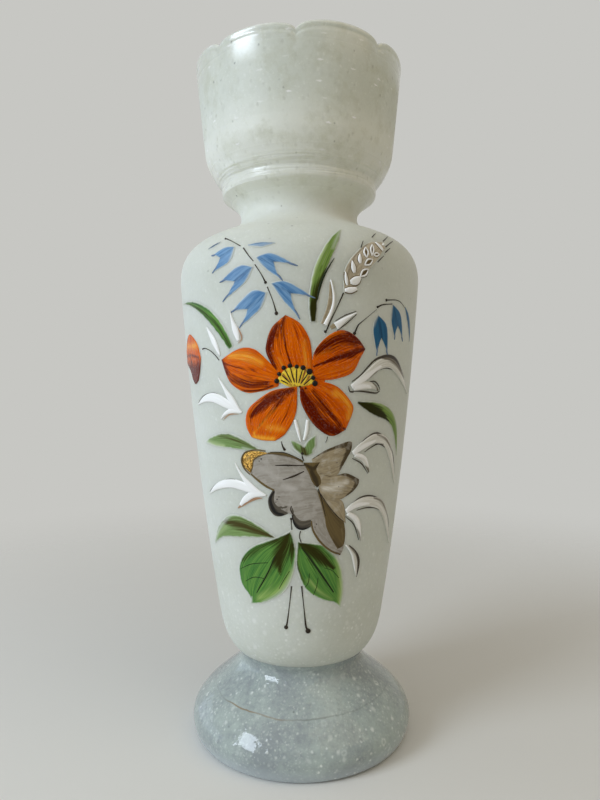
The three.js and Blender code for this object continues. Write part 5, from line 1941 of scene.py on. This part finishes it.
@dataclass
class Leaves:
    """Green leaves, the blade of grass, the sepals and the cut stalks below."""

    leaves: dict[str, tuple[Enamel, Deposit]] = field(default_factory=lambda: {
        "grass_blade": (Enamel.OLIVE, brush(
            ((5.3, 20.4), (5.3, 28), (6.9, 37), (10.4, 46), (16.6, 57.6)),
            (2.4, 3.7, 4.2, 5.0, 4.8, 4.0, 0.7),
            shade=(
                Touch(((5.6, 17), (6.2, 24), (8, 32), (10.6, 41)), (13, 12, 9.6, 1.6), 1.0, 0.9),
                Touch(((7, 26), (9.2, 33), (11.6, 39.5), (13.8, 46)), (6.4, 6.6, 5.4, 1.4), 1.0, 0.8),
                Touch(((8, 40), (12.6, 50)), (1.2, 1), 0.5, 1)
            ),
            light=(
                Touch(((4.2, 35), (6.6, 43), (11, 52)), (3, 3.4, 2), 0.85, 1),
                Touch(((8.6, 42), (12, 50)), (1.4, 1.2), 0.5, 1)
            ),
            thin=(
                Touch(((2.6, 33), (4.2, 40), (7.4, 47)), (1.6, 2.4, 1.6), 0.6, 1),
                Touch(((13, 49), (16.6, 57.6)), (2, 2), 0.5, 1)
            )
        )),
        "leaf_right": (Enamel.OLIVE, brush(
            ((23.5, -10.6), (32, -13.2), (41, -16), (47, -21.5), (50.8, -34.5)),
            (1.0, 5.4, 6.2, 5.0, 3.0, 0.6),
            shade=(
                Touch(((23.6, -10.8), (30, -13.6), (36, -16.4), (41.4, -19.2)), (3, 8, 9, 2.4), 1.0, 0.6),
                Touch(((40, -19), (45, -24), (48, -30)), (1.6, 1.2, 0.8), 0.6, 1)
            ),
            thin=(
                Touch(((36, -10.4), (45, -15), (51, -25), (52.4, -34)), (1.6, 3, 3, 2), 0.8, 1),
                Touch(((30, -17.4), (39, -20.6)), (1.6, 1.2), 0.5, 1)
            ),
            light=(
                Touch(((27, -9.5), (38, -12.6), (46, -17)), (1.4, 2, 2), 0.6, 1),
                Touch(((47, -20), (50, -28), (51, -34)), (1.5, 1.5, 1), 0.5, 1)
            )
        )),
        "leaf_upper_left": (Enamel.GREEN, brush(
            ((-68, 32.5), (-55, 31), (-44, 27), (-35, 19.8), (-28.6, 11)), (0.5, 2.2, 4.2, 4.8, 2.8),
            shade=(Touch(((-66, 32.4), (-50, 29.2), (-38, 22.4), (-29, 12)), (2.4, 4.8, 6, 4), 0.62, 1),),
            light=(Touch(((-60, 31.4), (-48, 26), (-40, 20.4)), (1.2, 1.8, 1.4), 0.6, 1),),
            thin=(Touch(((-56, 29.4), (-46, 25), (-38, 19)), (1.2, 1.6, 1.2), 0.5, 1),)
        )),
        "leaf_middle_left": (Enamel.SAGE, brush(
            ((-48, -27.8), (-40, -26.8), (-32, -26.2), (-23, -27.8), (-15.5, -30.2)), (0.8, 5, 6.4, 4.4, 1.2),
            shade=(Touch(((-40, -24), (-30, -24.8), (-18, -28.6)), (3, 7, 4), 0.6, 1),),
            light=(Touch(((-46, -28), (-34, -28.6)), (5, 4), 0.9, 1),),
            thin=(
                Touch(((-48, -27.8), (-43, -29), (-36, -29.8)), (4, 3, 1.4), 0.9, 1),
                Touch(((-24, -28.8), (-15, -30.4)), (1.4, 1.2), 0.6, 1)
            )
        )),
        "leaf_bottom_left": (Enamel.GREEN, Deposit(
            left=edge(((-4, -62), (-1.9, -70), (-3, -80.5), (-7, -88.5), (-15, -93.5), (-22.4, -95.2))),
            right=edge((
                (-4, -62), (-9, -64.7), (-21, -70), (-27.5, -78), (-27, -86.5), (-22.2, -92.3), (-22.4, -95.2)
            )),
            shade=(
                Touch(((-4.4, -61.6), (-7, -68.5), (-8.6, -74), (-8.4, -81)), (6, 14, 11, 1), 0.95, 1),
                Touch(((-3, -68), (-3.8, -76)), (4, 1), 0.8, 1),
                Touch(((-9, -72), (-13, -80), (-18, -88)), (4, 3.4, 1.4), 0.6, 1),
                Touch(((-10, -66), (-18, -70.5), (-25.6, -76.4)), (4, 6.4, 4), 0.6, 1)
            ),
            light=(
                Touch(((-3, -79), (-7, -86), (-17, -92)), (7, 10, 8), 0.7, 1),
                Touch(((-25, -78), (-25, -87)), (2, 3), 0.3, 1)
            ),
            thin=(
                Touch(((-1, -74), (-2.6, -82), (-7, -89.6), (-15, -94.6)), (4, 5.4, 6, 5), 0.95, 1),
                Touch(((-22, -95.6), (-21.4, -92)), (3, 1), 0.6, 1)
            )
        )),
        "leaf_bottom_right": (Enamel.GREEN, Deposit(
            left=edge(((-1.4, -66.5), (-1.8, -77.5), (2, -87), (8.5, -91.7), (14, -93.6), (17, -96.7))),
            right=edge(((-1.4, -66.5), (3, -67), (10.5, -69), (16.5, -76.5), (18.3, -88), (17, -96.7))),
            shade=(
                Touch(((0.4, -67.4), (5, -70.6), (9.4, -74.6), (13.6, -78.4)), (5, 10, 9, 3), 1.0, 0.9),
                Touch(((-1.4, -69), (-1.2, -77), (1.4, -84)), (3.4, 3.4, 1.6), 0.75, 1),
                Touch(((3, -74), (8.4, -82), (12.4, -88)), (2.6, 2.2, 1), 0.45, 1)
            ),
            light=(
                Touch(((15.4, -75), (17.4, -84), (16.4, -95)), (6, 7, 5), 0.8, 1),
                Touch(((3, -83), (8, -88), (13, -91.6)), (4, 5, 4), 0.5, 1)
            ),
            thin=(
                Touch(((11, -69), (17.5, -76), (19, -88), (17.4, -96)), (3.6, 5.4, 5, 4), 0.95, 1),
                Touch(((4, -90), (10, -93), (15, -95.4)), (2.4, 2.6, 2), 0.8, 1)
            )
        )),
        "leaf_lower_left": (Enamel.SAGE, brush(
            ((-45.5, -72.5), (-39, -66.2), (-30, -62.2), (-20, -62.7), (-10.5, -65.2)), (0.8, 6, 10, 6.6, 1),
            shade=(Touch(((-36, -61), (-27, -61.2), (-19, -62.6), (-11, -65)), (4, 8.6, 7, 2), 0.95, 1),),
            light=(
                Touch(((-43, -68.6), (-35, -63)), (5, 5), 0.6, 1),
                Touch(((-36, -68), (-22, -67)), (3, 3), 0.5, 1)
            ),
            thin=(
                Touch(((-45.6, -73), (-40, -65), (-32, -58)), (3, 2.4, 2), 0.6, 1),
                Touch(((-41, -71), (-30, -68.6), (-18, -67.4)), (1.6, 1.6, 1.4), 0.6, 1)
            )
        )),
        "flower_sepals": (Enamel.SAGE, Deposit(
            start=edge(((-0.3, -31), (2.6, -32), (5.4, -30.6))),
            left=edge(((-0.3, -31), (-2.6, -28.8), (-4.2, -25.2))),
            right=edge(((5.4, -30.6), (5.2, -29.4), (6.3, -27.6), (6.2, -23.2))),
            end=edge(((-4.2, -25.2), (-1.4, -25.8), (1.6, -27.6)), ((1.6, -27.6), (3, -25.2), (6.2, -23.2))),
            shade=(
                Touch(((1.2, -28), (2.2, -31.4)), (3, 4.6), 0.9, 1),
                Touch(((-4, -26), (-0.2, -29.5)), (2, 4), 0.6, 1)
            )
        ))
    })
    veins: tuple[Stroke, ...] = (
        (((-10.5, -73), (-14, -81), (-19, -89.8)), (0.6, 0.6, 0.35)),
        (((-27, -80.5), (-21, -77.4), (-13.5, -76)), (0.25, 0.35, 0.3)),
        (((-24.5, -85.5), (-20, -83), (-15.5, -83)), (0.25, 0.35, 0.3)),
        (((-4.5, -79), (-7.5, -84), (-9, -87)), (0.25, 0.3, 0.25)),
        (((0.3, -69), (6, -77), (13.7, -89)), (0.5, 0.9, 0.6)),
        (((3.5, -80), (3, -84), (1.6, -86)), (0.25, 0.3, 0.25)),
        (((7, -82), (6.4, -86), (5, -89.5)), (0.25, 0.3, 0.25)),
        (((9.5, -78), (13, -79.5), (16, -83)), (0.25, 0.3, 0.25)),
        (((6.9, 29), (7.6, 33), (8.9, 37), (10.5, 40.2), (12, 42.6), (13.5, 45)), (0.3, 0.9, 0.9, 0.5, 0.25))
    )
    stalks: tuple[Stroke, ...] = (
        (((-3.8, -57), (-3.7, -59.5), (-3.5, -61.7)), (0.7, 0.4, 0.5)),
        (((0, -62.2), (-0.5, -64.5), (0.3, -67.2)), (0.5, 0.4, 0.5)),
        (((-3.8, -85.5), (-4.5, -92), (-5.5, -100), (-6, -103)), (0.7, 0.45, 0.5, 0.8)),
        (((0.3, -85.5), (1.5, -98), (2, -103), (2.8, -105)), (0.7, 0.45, 0.6, 1.0))
    )

    def build(self, painter: Painter) -> None:
        """Paints the leaves with their veins and stalks.

        Args:
            painter: who lays the enamel.
        """
        for name, (enamel, deposit) in self.leaves.items():
            slot = "dark_green_enamel" if enamel is Enamel.OLIVE else "green_enamel"
            painter.piece("painted_" + name, enamel, slot, [deposit], Relief.WASH, [name])
        painter.strokes("leaf_veins", Enamel.MOSS, "dark_green_enamel", self.veins, under=0.1)
        painter.strokes(
            "cut_stalks", Enamel.INK, "black_enamel", self.stalks,
            beads=[((-6.2, -103.7), 0.9, 0.5, 0), ((2.9, -105.2), 1.15, 0.6, 0), ((-3.8, -57.2), 0.5, 0.3, 0)]
        )


@dataclass
class Bluebells:
    """Blue bells that hang from two bent stems.

    bells holds the points of each bell, in the order that floret takes them, and side_bells
    those that are seen from the side and are one stroke each. buds are the drops on the stems.
    """

    tip_bow: float = 0.7
    bells: dict[str, tuple[Point, ...]] = field(default_factory=lambda: {
        "bluebell_left_2": (
            (-26.2, 50.9), (-31.5, 51.3), (-38.6, 48.6), (-33.8, 46.9), (-38, 41.4), (-28.6, 45)
        ),
        "bluebell_left_3": (
            (-18, 42.1), (-24.5, 43.1), (-34, 37.4), (-26.7, 36.8), (-32.6, 29.6), (-21.9, 36)
        ),
        "bluebell_left_4": (
            (-12.5, 32.2), (-19, 33.1), (-28.8, 25.1), (-21, 25.8), (-24.7, 18.9), (-15.4, 25.7)
        ),
        "bluebell_left_6": (
            (-17.4, 45.7), (-10.5, 47.1), (-0.6, 41.8), (-9.6, 43.3), (-6.4, 36.2), (-13.3, 41)
        ),
        "bluebell_left_7": (
            (-11.3, 35.6), (-4.5, 36.1), (6.2, 29.6), (-3.1, 31.2), (0.1, 21.6), (-7.1, 29.6)
        ),
        "bluebell_right_1": ((33.4, 24.4), (38.9, 20), (39.6, 8.4), (35.6, 15), (33.2, 8), (30.8, 19)),
        "bluebell_right_2": ((42, 29.4), (48.6, 25.2), (51, 14.6), (46.3, 20.5), (44.2, 15), (41.2, 23))
    })
    side_bells: dict[str, Deposit] = field(default_factory=lambda: {
        "bluebell_left_1": brush(
            ((-41.3, 51.9), (-37.5, 52.9), (-33.6, 54.2)), (0.5, 1.4, 0.5),
            shade=(Touch(((-41, 52), (-34, 54)), (1.6, 1.6), 0.95, 1),)
        ),
        "bluebell_left_5": brush(
            ((-20.6, 50.9), (-15, 50.7), (-9.2, 51)), (0.5, 2.3, 0.5),
            shade=(Touch(((-20, 51.2), (-10, 51.2)), (1, 1.4), 0.6, 1),),
            light=(Touch(((-19, 49.8), (-13, 49.6)), (1.4, 1.4), 0.9, 1),),
            thin=(Touch(((-18, 50.4), (-11, 50.6)), (1.6, 1.6), 0.45, 1),)
        ),
        "bluebell_right_3": brush(((51.8, 29), (55.5, 25), (58.3, 19), (59.2, 15)), (0.8, 3, 2.4, 0.6))
    })
    stems: tuple[Stroke, ...] = (
        (((-31.5, 55.3), (-28.5, 53.8), (-23.7, 50.8)), (0.6, 0.4, 0.5)),
        (((-22.5, 50), (-20, 46.5), (-18, 44.2)), (0.6, 0.5, 0.4)),
        (((-17.5, 43), (-15, 39.3), (-13.3, 36.1)), (0.5, 0.4, 0.7)),
        (((-12.5, 34.2), (-10.4, 29), (-9, 24.3)), (0.5, 0.4, 0.7)),
        (((22.3, 17), (23.8, 19.9), (24.5, 20.5), (32.8, 26.5)), (0.9, 0.5, 0.3, 0.3)),
        (((33.3, 27.4), (36, 28.5), (42, 29.3)), (0.8, 0.5, 0.4)),
        (((38.3, 30.5), (44, 31.1), (48, 30.6), (52, 28.5)), (0.6, 0.4, 0.4, 0.3)),
        (((-46.5, 11.5), (-44.5, 11.8), (-41, 10.8), (-38, 9), (-35.3, 6.6)), (0.7, 0.4, 0.5, 0.5))
    )
    buds: tuple[tuple[Point, float], ...] = (
        ((-31.6, 55.3), 0.45), ((-13.2, 35.9), 0.6), ((-9, 24), 0.75), ((22.2, 16.6), 0.7),
        ((33.2, 27.4), 0.5), ((38.2, 30.5), 0.6)
    )

    def floret(
        self, heel: Point, side_a: Point, tip_a: Point, notch: Point, tip_b: Point, side_b: Point
    ) -> Deposit:
        """Draws one bell: a rounded heel and two swept tips either side of a notch.

        Args:
            heel: where it hangs.
            side_a: the middle of its first side.
            tip_a: the end of its first tip.
            notch: the corner between the tips.
            tip_b: the end of its second tip.
            side_b: the middle of its second side.

        Returns:
            The deposit.
        """
        inner = []
        for tip in (tip_a, tip_b):
            middle = (np.array(tip) + notch) / 2
            toward = np.array(heel) - middle
            inner.append(tuple(middle + toward / np.hypot(*toward) * self.tip_bow))
        return Deposit(
            left=edge((heel, side_a, tip_a)), right=edge((heel, side_b, tip_b)),
            end=edge((tip_a, inner[0], notch), (notch, inner[1], tip_b)),
            shade=(
                Touch((tip_a, notch), (2.4, 0.8), 0.9, 1), Touch((tip_b, notch), (2.6, 0.8), 0.9, 1),
                Touch((heel, notch), (1.6, 3.2), 0.5, 1)
            ),
            light=(Touch((heel, side_a, tip_a), (1.2, 2.8, 1.2), 0.6, 1),),
            thin=(Touch((heel, side_b), (1.6, 1.6), 0.55, 1),)
        )

    @staticmethod
    def tips(
        heel: Point, side_a: Point, tip_a: Point, notch: Point, tip_b: Point, side_b: Point
    ) -> list[Deposit]:
        """Draws the dark ends of a bell's two tips.

        Args:
            heel: where it hangs.
            side_a: the middle of its first side.
            tip_a: the end of its first tip.
            notch: the corner between the tips.
            tip_b: the end of its second tip.
            side_b: the middle of its second side.

        Returns:
            The strokes.
        """
        strokes = []
        for side, tip in ((side_a, tip_a), (side_b, tip_b)):
            start = np.average((side, notch, tip), axis=0, weights=(0.2, 0.3, 0.5))
            middle = np.average((start, tip), axis=0, weights=(0.45, 0.55))
            strokes.append(brush((tuple(start), tuple(middle), tip), (0.2, 0.8, 0.35), under=0.06))
        return strokes

    def build(self, painter: Painter) -> None:
        """Paints the bells and their stems.

        Args:
            painter: who lays the enamel.
        """
        drawn = {name: self.floret(*points) for name, points in self.bells.items()} | self.side_bells
        for name, deposit in drawn.items():
            deep = name.startswith("bluebell_right")
            enamel = Enamel.DEEP_BLUE if deep else Enamel.BLUE
            slot = "deep_blue_enamel" if deep else "blue_enamel"
            painter.piece("painted_" + name, enamel, slot, [deposit], Relief.WASH, [name])
        painter.piece(
            "bell_tips", Enamel.SLATE, "deep_blue_enamel",
            [stroke for points in self.bells.values() for stroke in self.tips(*points)], Relief.LINE
        )
        painter.strokes(
            "bell_stems", Enamel.INK, "black_enamel", self.stems,
            beads=[(at, radius, 0.35, 0) for at, radius in self.buds]
        )


@dataclass
class WheatEar:
    """The ear of wheat: a brown wash, raised white grains and fine awns.

    full holds the grains of one stroke each, and hollow those that are outlined by two strokes,
    as (tip, end, half width). Round each grain its shadow is wider by shadow_rim.
    """

    wash: float = 0.16
    shadow_rim: float = 0.8
    shadow_sunk: float = 0.06
    ear: Deposit = brush(
        ((18.8, 31.8), (21.3, 39.3), (26, 45), (31.5, 49.8), (37.3, 52.8)), (3, 7.6, 8.8, 8, 3),
        shade=(Touch(((17.5, 36), (22, 46), (29, 53)), (1.5, 2, 1.5), 0.6, 1),),
        light=(Touch(((24, 38), (33, 47)), (4, 4), 0.4, 1),),
        thin=(
            Touch(((21, 31), (26, 38), (34, 45.6), (39, 50)), (2, 3.4, 3.4, 2), 0.9, 1),
            Touch(((26, 52), (33, 56)), (2.4, 2), 0.6, 1)
        )
    )
    full: tuple[Stroke, ...] = (
        (((17.8, 33), (20.4, 33.2), (23, 33.9)), (1.2, 2.3, 2.1, 1.3)),
        (((18.8, 34.9), (18.4, 37), (18, 40)), (0.9, 1.5, 1.2, 0.4)),
        (((20, 36.2), (22.4, 36.8), (24.6, 38.4)), (1.5, 3.2, 3.0, 0.9)),
        (((21.8, 39.8), (21.4, 42), (20.8, 44.4)), (1.0, 2.1, 1.6, 0.4)),
        (((24.5, 43.6), (24.2, 45.4), (24.3, 47.4)), (0.9, 1.8, 1.5, 0.4)),
        (((36.2, 50), (34.4, 51.8), (32.2, 53.2)), (1.1, 1.5, 1.3, 0.4))
    )
    hollow: tuple[tuple[Point, Point, float], ...] = (
        ((24.4, 38.6), (28.2, 41.8), 1.1), ((26.4, 43.2), (30.4, 45.8), 1.1), ((27.4, 46.2), (27, 50.4), 1.0),
        ((30, 47.2), (30.4, 52), 0.75), ((30.8, 47.6), (33.9, 48.2), 0.7)
    )
    awns: tuple[Stroke, ...] = (
        (((17.3, 32), (14.5, 26), (12, 21), (10.2, 17)), (0.7, 0.5, 0.5, 0.7)),
        (((25, 50), (25.6, 51.6), (26.3, 53.3)), (0.6, 0.5, 0.3)),
        (((31, 55.5), (32.5, 57), (34, 58.3)), (0.5, 0.5, 0.3)),
        (((37, 54.5), (40, 56.8), (43, 59)), (0.6, 0.5, 0.3)),
        (((38, 52), (41.5, 54.4), (45, 56.5)), (0.6, 0.5, 0.3)),
        (((37.5, 49.5), (39.2, 50.8), (41, 52)), (0.6, 0.5, 0.3)),
        (((33, 45), (34.8, 46.6), (36.5, 48)), (0.5, 0.5, 0.3))
    )

    def build(self, painter: Painter) -> None:
        """Paints the ear from its wash up to its grains.

        Args:
            painter: who lays the enamel.
        """
        painter.piece(
            "painted_wheat_ear", Enamel.FAWN, "taupe_enamel", [self.ear], Relief.WASH, ["wheat_ear"]
        )
        grains = [brush(path, widths, under=self.wash) for path, widths in self.full]
        below = self.wash - self.shadow_sunk
        shadows = [
            brush(path, tuple(width + self.shadow_rim for width in widths), under=below)
            for path, widths in self.full
        ]
        for tip, end, half in self.hollow:
            run = np.subtract(end, tip)
            bow = np.array((run[1], -run[0])) / np.hypot(*run) * half
            middle = np.add(tip, end) / 2
            for side in (middle + bow, middle - bow):
                grains.append(brush((tip, tuple(side), end), (0.6, 0.8, 0.4), under=self.wash))
            shadows.append(brush((tip, tuple(middle), end), (1.2, 2 * half + 1.4, 1.0), under=below))
        painter.piece("wheat_grain_shadows", Enamel.BROWN, "brown_enamel", shadows, Relief.WASH)
        painter.piece(
            "wheat_grains", Enamel.WHITE, "white_enamel", grains, Relief.RAISED,
            beads=[((36.6, 52.8), 0.6, 0.6, self.wash)]
        )
        painter.strokes("wheat_awns", Enamel.INK, "brown_enamel", self.awns, beads=[((10, 17), 0.6, 0.4, 0)])


# Stage


@dataclass
class PhotoCamera:
    """The camera where the photograph was taken."""

    distance: float = 292.0
    height: float = 158.6
    focal_px: float = 620.0
    frame_px: float = 800.0
    horizon_drop_px: float = 13.0
    roll: float = 0.26

    def build(self) -> None:
        """Makes the camera and aims it."""
        data = bpy.data.cameras.new("photo_camera")
        data.sensor_width = 36.0
        data.lens = self.focal_px / self.frame_px * data.sensor_width
        data.clip_start, data.clip_end = 0.01, 50.0
        camera = bpy.data.objects.new("photo_camera", data)
        camera.location = (0, -self.distance * MM, self.height * MM)
        camera.rotation_mode = "QUATERNION"
        aim = Quaternion((1, 0, 0), math.pi / 2 - math.atan(self.horizon_drop_px / self.focal_px))
        camera.rotation_quaternion = aim @ Quaternion((0, 0, 1), -math.radians(self.roll))
        bpy.context.scene.collection.objects.link(camera)
        bpy.context.scene.camera = camera
        LOG.info("photo_camera")


@dataclass
class Studio:
    """A pale floor that runs out into a pale backdrop, a window light at the left and a weak fill."""

    floor_radius: float = 3.0
    floor_fades_from: float = 0.1
    floor_fades_to: float = 0.6
    floor_tone: str = "#e4e3df"
    fibres_per_metre: float = 900.0
    aim_height: float = 0.15
    backdrop_tone: str = "#c7c7c3"
    ambient_tone: str = "#fff9ea"
    ambient: float = 0.29

    def build(self) -> None:
        """Builds the floor, the world and the lamps."""
        self.build_floor()
        self.build_world()
        self.build_lamp("window_light", -57, 21, 1.1, (0.42, 0.55), 7.2, "#e4f1ff")
        self.build_lamp("side_light", -106, -3, 1.0, (1.0, 0.5), 1.35, "#d3e6ff")
        self.build_lamp("top_light", -25, 68, 1.7, (2.2, 2.2), 6.8, "#f6fbff")
        self.build_lamp("fill_light", 50, 42, 0.85, (0.7, 0.7), 0.95, "#ffe6bd")

    def build_floor(self) -> None:
        """Lays the floor. Away from the vase it thins out to nothing, so that no edge is seen."""
        bm = bmesh.new()
        bmesh.ops.create_circle(bm, cap_ends=True, segments=64, radius=self.floor_radius)
        mesh = bpy.data.meshes.new("floor")
        bm.to_mesh(mesh)
        bm.free()
        floor = bpy.data.objects.new("floor", mesh)
        bpy.context.scene.collection.objects.link(floor)
        material, tree = new_material("matt_paper")
        place_on = add_node(tree, "TexCoord").outputs["Object"]
        reach = add_node(tree, "VectorMath", {0: place_on}, operation="LENGTH")
        solid = add_node(
            tree, "MapRange",
            {
                "Value": reach.outputs["Value"], "From Min": self.floor_fades_to,
                "From Max": self.floor_fades_from
            },
            interpolation_type="SMOOTHSTEP"
        )
        fibres = add_node(tree, "TexNoise", {
            "Vector": place_on, "Scale": self.fibres_per_metre, "Detail": 3.0
        })
        bump = add_node(tree, "Bump", {"Strength": 0.1, "Distance": 0.2 * MM, "Height": fibres})
        shader = add_node(tree, "BsdfPrincipled", {
            "Base Color": linear(self.floor_tone), "Roughness": 0.9, "Alpha": solid, "Normal": bump
        })
        close_material(tree, shader)
        mesh.materials.append(material)

    def build_world(self) -> None:
        """Makes the soft light from all round, and the pale backdrop that the camera sees."""
        world = bpy.data.worlds.new("studio")
        world.use_nodes = True
        bpy.context.scene.world = world
        tree = world.node_tree
        tree.nodes.clear()
        path = add_node(tree, "LightPath").outputs
        lit = add_node(tree, "Background", {"Color": linear(self.ambient_tone), "Strength": self.ambient})
        shown = add_node(tree, "Background", {"Color": linear(self.backdrop_tone), "Strength": 1.0})
        seen = path["Is Camera Ray"]
        for ray in ("Is Glossy Ray", "Is Transmission Ray"):
            seen = add_node(tree, "Math", {0: seen, 1: path[ray]}, operation="MAXIMUM")
        mixed = add_node(tree, "MixShader", {0: seen, 1: lit, 2: shown})
        add_node(tree, "OutputWorld", {"Surface": mixed})

    def build_lamp(
        self, name: str, azimuth: float, elevation: float, distance: float, size: tuple[float, float],
        power: float, tone: str
    ) -> None:
        """Hangs one soft lamp that faces the vase.

        Args:
            name: the lamp's name.
            azimuth: degrees to the right of the camera's side.
            elevation: degrees above the middle of the vase.
            distance: metres from the vase.
            size: width and height in metres.
            power: watts.
            tone: its colour.
        """
        data = bpy.data.lights.new(name, "AREA")
        data.shape = "RECTANGLE"
        data.size, data.size_y = size
        data.energy = power
        data.color = linear(tone)[:3]
        lamp = bpy.data.objects.new(name, data)
        a, e = math.radians(azimuth), math.radians(elevation)
        out = Vector((math.sin(a) * math.cos(e), -math.cos(a) * math.cos(e), math.sin(e)))
        lamp.location = Vector((0, 0, self.aim_height)) + out * distance
        lamp.rotation_mode = "QUATERNION"
        lamp.rotation_quaternion = out.to_track_quat("Z", "Y")
        bpy.context.scene.collection.objects.link(lamp)
        LOG.info(name)


def main() -> None:
    """Builds the vase, its painting and its stage."""
    logging.basicConfig(level=logging.INFO, format="%(name)s: %(message)s")
    bpy.context.scene.view_settings.view_transform = "Standard"
    PhotoCamera().build()
    body = BlownBody()
    body.dress()
    AppliedFoot().dress(body)
    painter = Painter(body)
    for part in (Leaves(), Bluebells(), WheatEar(), Butterfly(), Flower(), WhiteReliefs()):
        part.build(painter)
    Studio().build()


if __name__ == "__main__":
    main()
